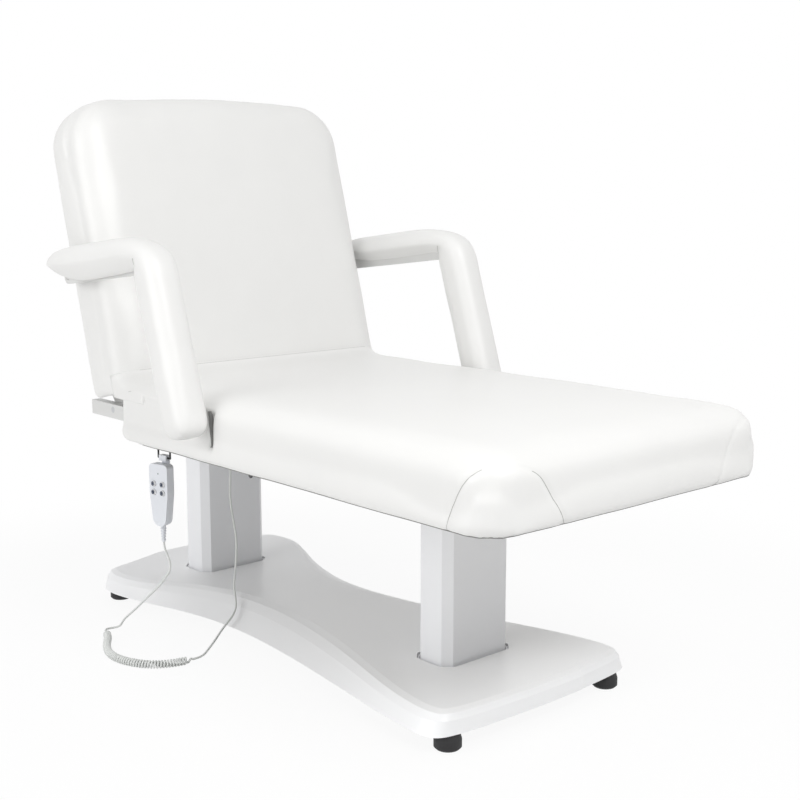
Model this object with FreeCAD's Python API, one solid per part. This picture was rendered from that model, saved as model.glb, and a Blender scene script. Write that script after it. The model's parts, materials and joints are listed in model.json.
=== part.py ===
import FreeCAD, Part
import math
import os

V = FreeCAD.Vector
X_AXIS = V(1, 0, 0)
Y_AXIS = V(0, 1, 0)
Z_AXIS = V(0, 0, 1)

# Frame: X runs from the head end to the foot end, Z is up from the floor, millimetres.
# The table stands at its lowest height with the backrest raised.
SIDES = (("left", 1), ("right", -1))

# General clearances and stock
RUN_CLEAR = 0.3
FIT_CLEAR = 1.0
PLATE = 6.0
TUBE_WALL = 2.5
LEVEL_TOLERANCE = 1e-3

# Base: levelling feet, steel frame and moulded cover
FOOT_HEIGHT = 33.0
FOOT_DIA = 51.0
FOOT_RIM_HEIGHT = 18.0
FOOT_BEVEL = 4.0
FOOT_TOP_DIA = 42.0
FOOT_STEM_DIA = 12.0
FOOT_STEM_REACH = 18.0
FOOT_HEAD_X = -662.0
FOOT_FOOT_X = 480.0
FOOT_Y = 217.0
BASE_HEAD_X = -733.0
BASE_FOOT_X = 518.0
BASE_HEIGHT = 43.0
BASE_HEAD_BOW = 42.0
BASE_FOOT_BOW = 14.0
BASE_HEAD_CORNER_R = 52.0
BASE_FOOT_CORNER_R = 40.0
BASE_EDGE_R = 16.0
COVER_WALL = 3.0
SHOULDER_HEAD_X = -590.0
SHOULDER_FOOT_X = 430.0
WAIST_HEAD_X = -330.0
WAIST_FOOT_X = -30.0
BOTTOM_HEAD_HALF = 266.0
BOTTOM_WAIST_HALF = 204.0
BOTTOM_FOOT_HALF = 268.0
TOP_HEAD_HALF = 252.0
TOP_WAIST_HALF = 134.0
TOP_FOOT_HALF = 250.0
FRAME_LIFT = 3.0
FRAME_TUBE_HEIGHT = 26.0
FRAME_TUBE_WIDTH = 40.0
FRAME_END_WIDTH = 30.0
FRAME_RAIL_Y = 76.0
COVER_POST_DIA = 14.0
COVER_POST_XS = (-250.0, 60.0)
COLUMN_OPENING_GAP = 7.0

# Lifting columns
COLUMN_HEAD_X = -531.0
COLUMN_FOOT_X = 298.0
COLUMN_LENGTH = 91.0
COLUMN_WIDTH = 176.0
COLUMN_CHAMFER = 16.0
COLUMN_WALL = 3.0
COLUMN_HEIGHT = 327.0
COLUMN_PLATE_MARGIN = 22.0
LINER_THICK = 2.2
LINER_HEIGHT = 50.0
INNER_RISE = 17.0
INNER_BOTTOM_GAP = 4.0
MOTOR_DIA = 50.0
MOTOR_HEIGHT = 285.0
LIFT_ROD_DIA = 24.0
LIFT_ROD_BOTTOM_GAP = 14.0
BOLT_DIA = 10.0
BOLT_HEAD_DIA = 17.0
BOLT_HEAD_HEIGHT = 4.0
BOLT_EDGE = 11.0

# Seat section: beams, cross tubes, rails, board and cushion
BEAM_HEIGHT = 28.0
BEAM_WIDTH = 40.0
BEAM_Y = 68.0
BEAM_OVERHANG = 50.0
CROSS_HEIGHT = 41.0
CROSS_WIDTH = 40.0
CROSS_XS = (-312.0, 80.0, 298.0, 640.0)
RAIL_HEIGHT = 31.0
RAIL_WIDTH = 22.0
RAIL_SIDE_GAP = 7.0
RAIL_HEAD_X = -528.0
RAIL_FOOT_X = 676.0
BOARD_THICK = 12.0
FOAM_THICK = 49.0
SEAT_REAR_X = -365.0
SEAT_FOOT_X = 733.0
SEAT_WIDTH = 750.0
SEAT_THICK = 128.0
SEAT_FOOT_CORNER_R = 80.0
SEAT_REAR_CORNER_R = 48.0
SEAT_EDGE_R = 40.0
SEAT_LOWER_R = 14.0
SEAT_SKIRT = 21.0

# Backrest: angles in degrees, lengths along the back from the hinge axis
BACK_ANGLE = 74.4
HINGE_X = -436.0
HINGE_DEPTH = 73.0
BACK_THICK = 127.0
BACK_NARROWING = 17.0
BACK_START = 30.0
BACK_END = 689.0
BACK_TOP_CORNER_R = 105.0
BACK_LOW_CORNER_R = 44.0
BACK_EDGE_R = 38.0
BACK_REAR_R = 14.0
BACK_SKIRT = 18.0
BACK_BAR_WIDTH = 25.0
BACK_LUG_GAP = 3.0
BACK_BAR_START = 36.0
BACK_BAR_END = 610.0
BACK_BOARD_START = 106.0
BACK_BOARD_MARGIN = 8.0
BACK_PANEL = 4.0
BACK_CROSS_ALONG = (180.0, 420.0, 597.0)
LUG_THICK = 6.0
LUG_RADIUS = 22.0
LUG_REACH = 84.0
TORQUE_BAR_DIA = 30.0
HINGE_PIN_DIA = 14.0
RAIL_RELIEF = 8.0
FLAP_SEAT_REACH = 64.0
FLAP_BACK_REACH = 26.0
FLAP_THICK = 3.0
FLAP_BEND_R = 14.0

# Backrest actuator and its slotted lever
LEVER_RADIUS = 105.0
LEVER_WIDTH = 46.0
LEVER_PLATE_GAP = 22.0
LEVER_SLOT_SLACK = 4.5
ACTUATOR_Y = 130.0
ACTUATOR_ROD_DIA = 18.0
ACTUATOR_TUBE_DIA = 38.0
ACTUATOR_TUBE_START = -344.0
ACTUATOR_GEARBOX_X = -60.0
ACTUATOR_GEARBOX_LENGTH = 60.0
ACTUATOR_GEARBOX_HEIGHT = 46.0
ACTUATOR_MOTOR_DIA = 44.0
ACTUATOR_MOTOR_LENGTH = 130.0
ACTUATOR_TONGUE = 14.0
ACTUATOR_PIN_DIA = 12.0
ROD_TAIL = 205.0
ROD_EYE_DIA = 30.0

# Armrests: a leg and a level pad on a parallelogram with the backrest
ARM_INSET = 6.5
ARM_RECESS = 10.0
ARM_RECESS_GAP = 5.0
ARM_RECESS_DROP = 24.0
ARM_WIDTH = 75.0
LEG_HALF = 42.0
LEG_PIVOT_X = -63.7
LEG_PIVOT_Z = 548.0
LEG_LENGTH = 297.0
LEG_FOOT_SHIFT = 9.0
LEG_EDGE_R = 29.0
ARM_CORE = 12.0
LEG_CORE_WIDTH = 40.0
PAD_CORE_WIDTH = 30.0
ARM_PIN_DIA = 12.0
STUD_DIA = 14.0
STUD_PLATE_LENGTH = 50.0
STUD_PLATE = 5.0
PAD_REACH = 431.0
PAD_HEIGHT = 54.0
PAD_REAR_DROP = 27.0
PAD_REAR_HEIGHT = 62.0
PAD_EDGE_R = 20.0
PAD_LIP_SETBACK = 19.0
PAD_CROWN = 9.0
ELBOW_CLEAR = 1.5
SOFT_GAP = 0.5

# Control box, handset and cord
BOX_X = -207.0
BOX_Y = -165.0
BOX_LENGTH = 160.0
BOX_WIDTH = 130.0
BOX_HEIGHT = 62.0
BOX_EDGE_R = 8.0
INLET_WIDTH = 28.0
INLET_HEIGHT = 20.0
INLET_DEPTH = 16.0
GLAND_DIA = 13.0
GLAND_TIP_DIA = 8.0
GLAND_LENGTH = 31.0
CORD_DIA = 4.5
COIL_DIA = 17.6
CABLE_DIA = 6.0
CORD_BEND_SHARE = 0.45
HANDSET_X = -254.0
HANGER_INSET = 15.0
HANDSET_TOP_Z = 415.0
HANDSET_TURN = 13.0
HANDSET_HEIGHT = 132.0
HANDSET_WIDTH = 52.0
HANDSET_FOOT_WIDTH = 38.0
HANDSET_DEPTH = 22.0
HANDSET_SPLIT = 9.0
HANDSET_WALL = 2.0
HANDSET_EDGE_R = 4.0
HANDSET_CORNER_R = 9.0
HANDSET_TAPER_START = 62.0
HANDSET_FOOT_ROUND = 0.8
PCB_THICK = 1.6
PCB_GAP = 3.0
BUTTON_DIA = 12.5
BUTTON_PITCH_X = 25.0
BUTTON_PITCH_Z = 18.0
BUTTON_ROW_DROP = 42.0
BUTTON_PROUD = 1.8
BUTTON_TRAVEL = 1.2
BUTTON_CLEAR = 0.4
LED_DROP = 20.0
LED_DIA = 3.0
HOOK_WIDTH = 20.0
HOOK_THICK = 4.0
HOOK_RISE = 17.0
HOOK_LIP = 12.0
HOOK_TAIL = 40.0
HANGER_DIA = 4.0
HANGER_SPAN = 34.0
RELIEF_LENGTH = 35.0
RELIEF_DIA = 13.0
RELIEF_TIP_DIA = 8.0
RELIEF_RIBS = 5
RELIEF_RIB_DIA = 13.5

# Heights and places that follow from the sizes above
BASE_BOTTOM = FOOT_HEIGHT
BASE_TOP = BASE_BOTTOM + BASE_HEIGHT
FRAME_BOTTOM = BASE_BOTTOM + FRAME_LIFT
FRAME_TOP = FRAME_BOTTOM + FRAME_TUBE_HEIGHT
COLUMN_BOTTOM = FRAME_TOP + PLATE
COLUMN_TOP = COLUMN_BOTTOM + COLUMN_HEIGHT
INNER_TOP = COLUMN_TOP + INNER_RISE
BEAM_BOTTOM = INNER_TOP + PLATE
BEAM_TOP = BEAM_BOTTOM + BEAM_HEIGHT
RAIL_BOTTOM = BEAM_TOP + CROSS_HEIGHT
RAIL_TOP = RAIL_BOTTOM + RAIL_HEIGHT
BOARD_TOP = RAIL_TOP + BOARD_THICK
SEAT_TOP = BOARD_TOP + FOAM_THICK
SEAT_BOTTOM = SEAT_TOP - SEAT_THICK
HINGE_Z = SEAT_TOP - HINGE_DEPTH
HINGE = V(HINGE_X, 0, HINGE_Z)
RAIL_OUTER_Y = SEAT_WIDTH / 2 - SEAT_SKIRT - RAIL_SIDE_GAP
RAIL_INNER_Y = RAIL_OUTER_Y - RAIL_WIDTH
BACK_WIDTH = SEAT_WIDTH - BACK_NARROWING
BACK_BAR_OUTER_Y = RAIL_INNER_Y - LUG_THICK - BACK_LUG_GAP
ARM_INNER_Y = SEAT_WIDTH / 2 - ARM_INSET
HANDSET_Y = -RAIL_INNER_Y - HANGER_INSET
BACK_RAKE = math.radians(BACK_ANGLE)
LEG_DIRECTION = V(-math.cos(BACK_RAKE), 0, math.sin(BACK_RAKE))
BACK_LEAN = V(math.sin(BACK_RAKE), 0, math.cos(BACK_RAKE))
BACK_FACE = HINGE + BACK_LEAN * (HINGE_DEPTH + SOFT_GAP)
FLAP_FOOT = BACK_FACE + LEG_DIRECTION * ((SEAT_TOP - FLAP_THICK - BACK_FACE.z) / LEG_DIRECTION.z)
FLAP_HALF = BACK_WIDTH / 2 - BACK_EDGE_R
LEG_PIVOT = V(LEG_PIVOT_X, 0, LEG_PIVOT_Z)
ELBOW = LEG_PIVOT + LEG_DIRECTION * LEG_LENGTH
LEG_FOOT = LEG_PIVOT + X_AXIS * LEG_FOOT_SHIFT
ARM_MIDDLE_Y = ARM_INNER_Y + ARM_WIDTH / 2
LEVER_HALF = math.radians(BACK_ANGLE / 2)
LEVER_DROP = LEVER_RADIUS * math.cos(LEVER_HALF)
ROD_Z = HINGE_Z - LEVER_DROP
ROD_PIN_X = HINGE_X - LEVER_RADIUS * math.sin(LEVER_HALF)
BOARD_HALF = RAIL_OUTER_Y - FIT_CLEAR


def box(x0, x1, y0, y1, z0, z1):
    """Box between two corners given in any order."""
    low = V(min(x0, x1), min(y0, y1), min(z0, z1))
    return Part.makeBox(abs(x1 - x0), abs(y1 - y0), abs(z1 - z0), low)


def rod_y(x, z, radius, y0, y1):
    """Round bar along Y."""
    return Part.makeCylinder(radius, abs(y1 - y0), V(x, min(y0, y1), z), Y_AXIS)


def rod_z(x, y, radius, z0, z1):
    """Round bar along Z."""
    return Part.makeCylinder(radius, z1 - z0, V(x, y, z0), Z_AXIS)


def rod_x(y, z, radius, x0, x1):
    """Round bar along X."""
    return Part.makeCylinder(radius, x1 - x0, V(x0, y, z), X_AXIS)


def tube_x(x0, x1, y0, y1, z0, z1):
    """Rectangular steel tube along X, open at its ends."""
    wall = TUBE_WALL
    low, high = sorted((y0, y1))
    return box(x0, x1, low, high, z0, z1).cut(box(x0, x1, low + wall, high - wall, z0 + wall, z1 - wall))


def tube_y(x0, x1, y0, y1, z0, z1):
    """Rectangular steel tube along Y, open at its ends."""
    wall = TUBE_WALL
    return box(x0, x1, y0, y1, z0, z1).cut(box(x0 + wall, x1 - wall, y0, y1, z0 + wall, z1 - wall))


def plate_xz(edges, y0, y1):
    """Plate cut from a closed outline in the XZ plane, between two Y planes."""
    low, high = sorted((y0, y1))
    face = Part.Face(Part.Wire(edges))
    face.translate(V(0, low, 0))
    return face.extrude(V(0, high - low, 0))


def slot_edges(first, second, radius):
    """Round-ended slot outline in the XZ plane about two centres."""
    along = (second - first).normalize()
    across = V(-along.z, 0, along.x) * radius
    tip, tail = along * radius, along * -radius
    return [
        Part.LineSegment(first + across, second + across).toShape(),
        Part.Arc(second + across, second + tip, second - across).toShape(),
        Part.LineSegment(second - across, first - across).toShape(),
        Part.Arc(first - across, first + tail, first + across).toShape(),
    ]


def rounded_plan(x0, x1, half, low_r, high_r):
    """Rectangle in plan, its corners rounded by one radius at each end."""
    turn = math.sqrt(0.5)
    edges = []
    corners = (
        (V(x1, -half, 0), V(-1, 1, 0), high_r),
        (V(x1, half, 0), V(-1, -1, 0), high_r),
        (V(x0, half, 0), V(1, -1, 0), low_r),
        (V(x0, -half, 0), V(1, 1, 0), low_r),
    )
    starts, ends = [], []
    for index, (corner, inward, radius) in enumerate(corners):
        centre = corner + inward * radius
        on_x = V(centre.x, corner.y, 0)
        on_y = V(corner.x, centre.y, 0)
        middle = centre - inward * (radius * turn)
        first, last = (on_x, on_y) if index % 2 == 0 else (on_y, on_x)
        starts.append(first)
        ends.append(last)
        edges.append(Part.Arc(first, middle, last).toShape())
    for index in range(len(corners)):
        following = starts[(index + 1) % len(corners)]
        edges.append(Part.LineSegment(ends[index], following).toShape())
    return Part.Wire(Part.__sortEdges__(edges))


def pad_block(plan, z0, z1):
    """Upright block on a plan outline."""
    face = Part.Face(plan)
    face.translate(V(0, 0, z0))
    return face.extrude(V(0, 0, z1 - z0))


def edges_at(shape, z):
    """Edges that lie wholly in one level plane."""
    return [e for e in shape.Edges
            if max(abs(e.BoundBox.ZMin - z), abs(e.BoundBox.ZMax - z)) < LEVEL_TOLERANCE]


def chamfered_plan(x, length, width, chamfer):
    """Rectangle about a column centre with its corners cut off."""
    a, b = length / 2, width / 2
    corners = [(-a, -b + chamfer), (-a + chamfer, -b), (a - chamfer, -b), (a, -b + chamfer),
               (a, b - chamfer), (a - chamfer, b), (-a + chamfer, b), (-a, b - chamfer)]
    points = [V(x + dx, dy, 0) for dx, dy in corners]
    return Part.makePolygon(points + points[:1])


def column_block(x, inset, z0, z1):
    """Solid column profile, inset from the outer tube's faces."""
    chamfer = COLUMN_CHAMFER - inset * (2 - math.sqrt(2))
    return pad_block(chamfered_plan(x, COLUMN_LENGTH - 2 * inset, COLUMN_WIDTH - 2 * inset, chamfer), z0, z1)


def place_back(shape):
    """Turn a piece drawn with the backrest flat about the hinge origin up to its raised place."""
    shape.Placement = FreeCAD.Placement(HINGE, FreeCAD.Rotation(Y_AXIS, BACK_ANGLE))
    return shape


def place_handset(shape):
    """Turn a handset piece drawn facing -Y about its own centre to the way it hangs."""
    spot = V(HANDSET_X, HANDSET_Y, HANDSET_TOP_Z)
    shape.Placement = FreeCAD.Placement(spot, FreeCAD.Rotation(Z_AXIS, HANDSET_TURN))
    return shape


def cord_tube(points, diameter, label):
    """Plain tube along straight runs joined by the largest tangent arcs."""
    path, radii = [], []
    at = points[0]
    for before, corner, after in zip(points, points[1:], points[2:]):
        back = corner - before
        ahead = after - corner
        reach = CORD_BEND_SHARE * min(back.Length, ahead.Length)
        half_turn = back.getAngle(ahead) / 2
        radius = reach / math.tan(half_turn)
        radii.append(radius)
        start = corner - back.normalize() * reach
        end = corner + ahead.normalize() * reach
        inward = ((start + end) * 0.5 - corner).normalize()
        middle = corner + inward * (radius / math.cos(half_turn) - radius)
        path.append(Part.LineSegment(at, start).toShape())
        path.append(Part.Arc(start, middle, end).toShape())
        at = end
    path.append(Part.LineSegment(at, points[-1]).toShape())
    spine = Part.Wire(path)
    ring = Part.Wire(Part.makeCircle(diameter / 2, points[0], points[1] - points[0]))
    tube = spine.makePipeShell([ring], True, False)
    share = tube.Volume / (math.pi * diameter ** 2 / 4 * spine.Length)
    print(label, "length", round(spine.Length), "least radius", round(min(radii), 1),
          "volume share", round(share, 4))
    return tube


def save(name, shape):
    """Write one node."""
    shape.exportStep(os.path.join("parts", name + ".step"))


def group(solids):
    """Several separate solids in one node."""
    return Part.makeCompound(solids)


def base_outline(level, inset):
    """Waisted plan outline of the base cover at a share of its height, inset from its face."""
    def half(bottom, top):
        return bottom + (top - bottom) * level - inset

    head = half(BOTTOM_HEAD_HALF, TOP_HEAD_HALF)
    waist = half(BOTTOM_WAIST_HALF, TOP_WAIST_HALF)
    foot = half(BOTTOM_FOOT_HALF, TOP_FOOT_HALF)
    corner, foot_corner = BASE_HEAD_CORNER_R - inset, BASE_FOOT_CORNER_R - inset
    share = 1 - math.sqrt(0.5)
    slant, foot_slant = corner * share, foot_corner * share
    head_x = BASE_HEAD_X + inset
    foot_x = BASE_FOOT_X - inset
    head_corner_x = head_x + BASE_HEAD_BOW
    foot_corner_x = foot_x - BASE_FOOT_BOW
    shape = [
        (head_x, 0), (head_x + BASE_HEAD_BOW / 4, (head - corner) / 2), (head_corner_x, head - corner),
        (head_corner_x + slant, head - slant), (head_corner_x + corner, head), (SHOULDER_HEAD_X, head),
        ((SHOULDER_HEAD_X + WAIST_HEAD_X) / 2, (head + waist) / 2), (WAIST_HEAD_X, waist),
        (WAIST_FOOT_X, waist),
        ((WAIST_FOOT_X + SHOULDER_FOOT_X) / 2, (foot + waist) / 2), (SHOULDER_FOOT_X, foot),
        (foot_corner_x - foot_corner, foot), (foot_corner_x - foot_slant, foot - foot_slant),
        (foot_corner_x, foot - foot_corner),
        (foot_x - BASE_FOOT_BOW / 4, (foot - foot_corner) / 2), (foot_x, 0),
    ]
    edges = []
    for side, order in ((1, shape), (-1, shape[::-1])):
        curve = Part.BSplineCurve()
        points = [V(x, side * y, 0) for x, y in order]
        curve.interpolate(Points=points, InitialTangent=V(0, side, 0), FinalTangent=V(0, -side, 0))
        edges.append(curve.toShape())
    return Part.Wire(edges)


def cover_block(wall):
    """Lofted body of the base cover, drawn in by a wall on every side."""
    top = BASE_TOP - wall
    quarter = math.sqrt(0.5)
    levels = [(BASE_BOTTOM - wall, wall), (top - BASE_EDGE_R, wall),
              (top - BASE_EDGE_R * (1 - quarter), wall + BASE_EDGE_R * (1 - quarter)),
              (top, wall + BASE_EDGE_R)]
    sections = []
    for z, inset in levels:
        wire = base_outline(min(1, (z - BASE_BOTTOM) / BASE_HEIGHT), inset)
        wire.translate(V(0, 0, z))
        sections.append(wire)
    return Part.makeLoft(sections, True, True)


def build_base():
    """Feet, frame, cover and the fixed halves of the columns."""
    cover = cover_block(0).cut(cover_block(COVER_WALL))
    for x in (COLUMN_HEAD_X, COLUMN_FOOT_X):
        cover = cover.cut(column_block(x, -COLUMN_OPENING_GAP, BASE_BOTTOM, BASE_TOP + COVER_WALL))
    for x in COVER_POST_XS:
        for _, s in SIDES:
            post = rod_z(x, s * FRAME_RAIL_Y, COVER_POST_DIA / 2, FRAME_TOP, BASE_TOP - COVER_WALL / 2)
            cover = cover.fuse(post)
    save("base_cover", cover.removeSplitter())

    half = FRAME_TUBE_WIDTH / 2
    rail_y0, rail_y1 = FRAME_RAIL_Y - half, FRAME_RAIL_Y + half
    foot_xs = (FOOT_HEAD_X, FOOT_FOOT_X)
    end_half = FRAME_END_WIDTH / 2
    boss_r = FOOT_STEM_DIA / 2 + COVER_WALL
    ends = [(x - end_half, x + end_half) for x in foot_xs]
    rails = [tube_x(ends[0][1], ends[1][0], s * rail_y0, s * rail_y1, FRAME_BOTTOM, FRAME_TOP)
             for _, s in SIDES]
    save("base_rails", group(rails))

    crosses = []
    cross_half = FOOT_Y + boss_r
    for x0, x1 in ends:
        cross = tube_y(x0, x1, -cross_half, cross_half, FRAME_BOTTOM, FRAME_TOP)
        for _, s in SIDES:
            middle = (x0 + x1) / 2
            boss = rod_z(middle, s * FOOT_Y, boss_r, FRAME_BOTTOM, FRAME_TOP)
            hole = rod_z(middle, s * FOOT_Y, FOOT_STEM_DIA / 2 + RUN_CLEAR, FRAME_BOTTOM, FRAME_TOP)
            cross = cross.fuse(boss).cut(hole)
        crosses.append(cross)
    for x in (COLUMN_HEAD_X, COLUMN_FOOT_X):
        crosses.append(tube_y(x - half, x + half, -rail_y0, rail_y0, FRAME_BOTTOM, FRAME_TOP))
    save("base_cross_tubes", group(crosses))

    for end, x in zip(("head", "foot"), foot_xs):
        for side, s in SIDES:
            save("leveller_" + end + "_" + side, leveller(x, s * FOOT_Y))

    liners, bolts, motors = [], [], []
    for end, x in (("head", COLUMN_HEAD_X), ("foot", COLUMN_FOOT_X)):
        plate_x = COLUMN_LENGTH / 2 + COLUMN_PLATE_MARGIN
        plate_y = COLUMN_WIDTH / 2 + COLUMN_PLATE_MARGIN
        plate = box(x - plate_x, x + plate_x, -plate_y, plate_y, FRAME_TOP, COLUMN_BOTTOM)
        for dx in (-1, 1):
            for dy in (-1, 1):
                bx, by = x + dx * (plate_x - BOLT_EDGE), dy * FRAME_RAIL_Y
                plate = plate.cut(rod_z(bx, by, BOLT_DIA / 2, FRAME_TOP, COLUMN_BOTTOM))
                head = rod_z(bx, by, BOLT_HEAD_DIA / 2, COLUMN_BOTTOM, COLUMN_BOTTOM + BOLT_HEAD_HEIGHT)
                bolts.append(head.fuse(rod_z(bx, by, BOLT_DIA / 2, FRAME_TOP, COLUMN_BOTTOM)))
        tube = column_block(x, 0, COLUMN_BOTTOM, COLUMN_TOP).cut(
            column_block(x, COLUMN_WALL, COLUMN_BOTTOM, COLUMN_TOP))
        save("column_outer_" + end, plate.fuse(tube).removeSplitter())
        liner_z = COLUMN_TOP - LINER_HEIGHT
        liners.append(column_block(x, COLUMN_WALL, liner_z, COLUMN_TOP).cut(
            column_block(x, COLUMN_WALL + LINER_THICK, liner_z, COLUMN_TOP)))
        body = rod_z(x, 0, MOTOR_DIA / 2, COLUMN_BOTTOM, COLUMN_BOTTOM + MOTOR_HEIGHT)
        bore_z = COLUMN_BOTTOM + LIFT_ROD_BOTTOM_GAP - FIT_CLEAR
        bore = rod_z(x, 0, LIFT_ROD_DIA / 2 + RUN_CLEAR, bore_z, COLUMN_BOTTOM + MOTOR_HEIGHT)
        motors.append(body.cut(bore))
    save("slide_liners", group(liners))
    save("column_bolts", group(bolts))
    save("lift_motors", group(motors))


def leveller(x, y):
    """Screw foot: a wide rubber pad, a hub and a threaded stem, turned as one."""
    r, rim, hub, stem = FOOT_DIA / 2, FOOT_RIM_HEIGHT, FOOT_TOP_DIA / 2, FOOT_STEM_DIA / 2
    seat = BASE_BOTTOM
    top = FRAME_BOTTOM + FOOT_STEM_REACH
    bevel = FOOT_BEVEL
    outline = [(0, 0), (r - bevel, 0), (r, bevel), (r, rim), (hub, seat), (stem, seat), (stem, top), (0, top)]
    points = [V(px, 0, pz) for px, pz in outline]
    solid = Part.Face(Part.makePolygon(points + points[:1])).revolve(V(0, 0, 0), Z_AXIS, 360)
    solid.translate(V(x, y, 0))
    return solid


def build_lift():
    """Rising halves of the columns and the steel frame under the seat."""
    inset = COLUMN_WALL + LINER_THICK + RUN_CLEAR
    bolts, rods = [], []
    low_z = COLUMN_BOTTOM + INNER_BOTTOM_GAP
    plate_y = BEAM_Y + BEAM_WIDTH / 2
    plate_x = COLUMN_LENGTH / 2 + COLUMN_PLATE_MARGIN
    for end, x in (("head", COLUMN_HEAD_X), ("foot", COLUMN_FOOT_X)):
        tube = column_block(x, inset, low_z, INNER_TOP)
        tube = tube.cut(column_block(x, inset + COLUMN_WALL, low_z, INNER_TOP))
        plate = box(x - plate_x, x + plate_x, -plate_y, plate_y, INNER_TOP, BEAM_BOTTOM)
        for dx in (-1, 1):
            for dy in (-1, 1):
                bx, by = x + dx * (plate_x - BOLT_EDGE), dy * BEAM_Y
                plate = plate.cut(rod_z(bx, by, BOLT_DIA / 2, INNER_TOP, BEAM_BOTTOM))
                head = rod_z(bx, by, BOLT_HEAD_DIA / 2, INNER_TOP - BOLT_HEAD_HEIGHT, INNER_TOP)
                bolts.append(head.fuse(rod_z(bx, by, BOLT_DIA / 2, INNER_TOP, BEAM_BOTTOM)))
        save("column_inner_" + end, tube.fuse(plate).removeSplitter())
        rods.append(rod_z(x, 0, LIFT_ROD_DIA / 2, COLUMN_BOTTOM + LIFT_ROD_BOTTOM_GAP, INNER_TOP))
    save("lift_rods", group(rods))
    save("top_plate_bolts", group(bolts))

    half = BEAM_WIDTH / 2
    beam_x = (COLUMN_HEAD_X - BEAM_OVERHANG, COLUMN_FOOT_X + BEAM_OVERHANG)
    beams = [tube_x(*beam_x, s * (BEAM_Y - half), s * (BEAM_Y + half), BEAM_BOTTOM, BEAM_TOP)
             for _, s in SIDES]
    save("lift_beams", group(beams))

    half = CROSS_WIDTH / 2
    crosses = [tube_y(x - half, x + half, -RAIL_OUTER_Y, RAIL_OUTER_Y, BEAM_TOP, RAIL_BOTTOM)
               for x in CROSS_XS]
    save("seat_cross_tubes", group(crosses))

    rails, pins, studs = [], [], []
    lug_inner = BACK_BAR_OUTER_Y
    for _, s in SIDES:
        rail = tube_x(RAIL_HEAD_X, RAIL_FOOT_X, s * RAIL_INNER_Y, s * RAIL_OUTER_Y, RAIL_BOTTOM, RAIL_TOP)
        bore = rod_y(HINGE_X, HINGE_Z, HINGE_PIN_DIA / 2, s * RAIL_INNER_Y, s * RAIL_OUTER_Y)
        rails.append(rail.cut(bore))
        pins.append(rod_y(HINGE_X, HINGE_Z, HINGE_PIN_DIA / 2, s * (lug_inner + FIT_CLEAR), s * RAIL_OUTER_Y))
        reach = STUD_PLATE_LENGTH / 2
        outer = RAIL_OUTER_Y + STUD_PLATE
        head_z = LEG_PIVOT_Z + STUD_DIA
        plate = box(LEG_PIVOT_X - reach, LEG_PIVOT_X + reach, s * RAIL_OUTER_Y, s * outer, RAIL_BOTTOM,
                    head_z)
        stud = rod_y(LEG_PIVOT_X, LEG_PIVOT_Z, STUD_DIA / 2, s * RAIL_OUTER_Y,
                     s * (ARM_MIDDLE_Y + ARM_CORE / 2))
        studs.append(plate.fuse(stud))
    save("seat_rails", group(rails))
    save("hinge_pins", group(pins))
    save("arm_pivot_studs", group(studs))


def seat_plan(inset):
    """Plan outline of the seat cushion, drawn in by an inset."""
    return rounded_plan(SEAT_REAR_X + inset, SEAT_FOOT_X - inset, SEAT_WIDTH / 2 - inset,
                        SEAT_REAR_CORNER_R - inset, SEAT_FOOT_CORNER_R - inset)


def build_seat():
    """Plywood board and the upholstered cushion that skirts down over the frame."""
    inset = SEAT_SKIRT + FIT_CLEAR
    board = pad_block(seat_plan(inset), RAIL_TOP, BOARD_TOP)
    board = board.common(box(SEAT_REAR_X, SEAT_FOOT_X, -BOARD_HALF, BOARD_HALF, RAIL_TOP, BOARD_TOP))
    save("seat_board", board)

    cushion = pad_block(seat_plan(0), SEAT_BOTTOM, SEAT_TOP)
    cushion = cushion.makeFillet(SEAT_EDGE_R, edges_at(cushion, SEAT_TOP))
    cushion = cushion.makeFillet(SEAT_LOWER_R, edges_at(cushion, SEAT_BOTTOM))
    cushion = cushion.cut(pad_block(seat_plan(SEAT_SKIRT), SEAT_BOTTOM, BOARD_TOP + SOFT_GAP))
    flap_half = FLAP_HALF + FIT_CLEAR
    cushion = cushion.cut(box(SEAT_REAR_X, FLAP_FOOT.x + FLAP_SEAT_REACH + FIT_CLEAR, -flap_half, flap_half,
                              FLAP_FOOT.z - SOFT_GAP, SEAT_TOP))
    reach = STUD_PLATE_LENGTH / 2 + FIT_CLEAR
    pocket_y = RAIL_OUTER_Y + STUD_PLATE + FIT_CLEAR
    pocket_top = LEG_PIVOT_Z + STUD_DIA + FIT_CLEAR
    for _, s in SIDES:
        notch = box(SEAT_REAR_X, SEAT_REAR_X + SEAT_REAR_CORNER_R, s * (RAIL_INNER_Y - FIT_CLEAR),
                    s * (RAIL_OUTER_Y + FIT_CLEAR), RAIL_BOTTOM - FIT_CLEAR, RAIL_TOP + FIT_CLEAR)
        pocket = box(LEG_PIVOT_X - reach, LEG_PIVOT_X + reach, s * (RAIL_OUTER_Y - FIT_CLEAR), s * pocket_y,
                     RAIL_TOP, pocket_top)
        hole = rod_y(LEG_PIVOT_X, LEG_PIVOT_Z, STUD_DIA / 2 + FIT_CLEAR, s * RAIL_OUTER_Y, s * SEAT_WIDTH / 2)
        recess = box(SEAT_REAR_X, LEG_FOOT.x + LEG_HALF + ARM_RECESS_GAP, s * (SEAT_WIDTH / 2 - ARM_RECESS),
                     s * SEAT_WIDTH / 2, LEG_PIVOT_Z - LEG_HALF - ARM_RECESS_DROP, SEAT_TOP)
        cushion = cushion.cut(notch).cut(pocket).cut(hole).cut(recess)
    save("seat_cushion", cushion)


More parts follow.
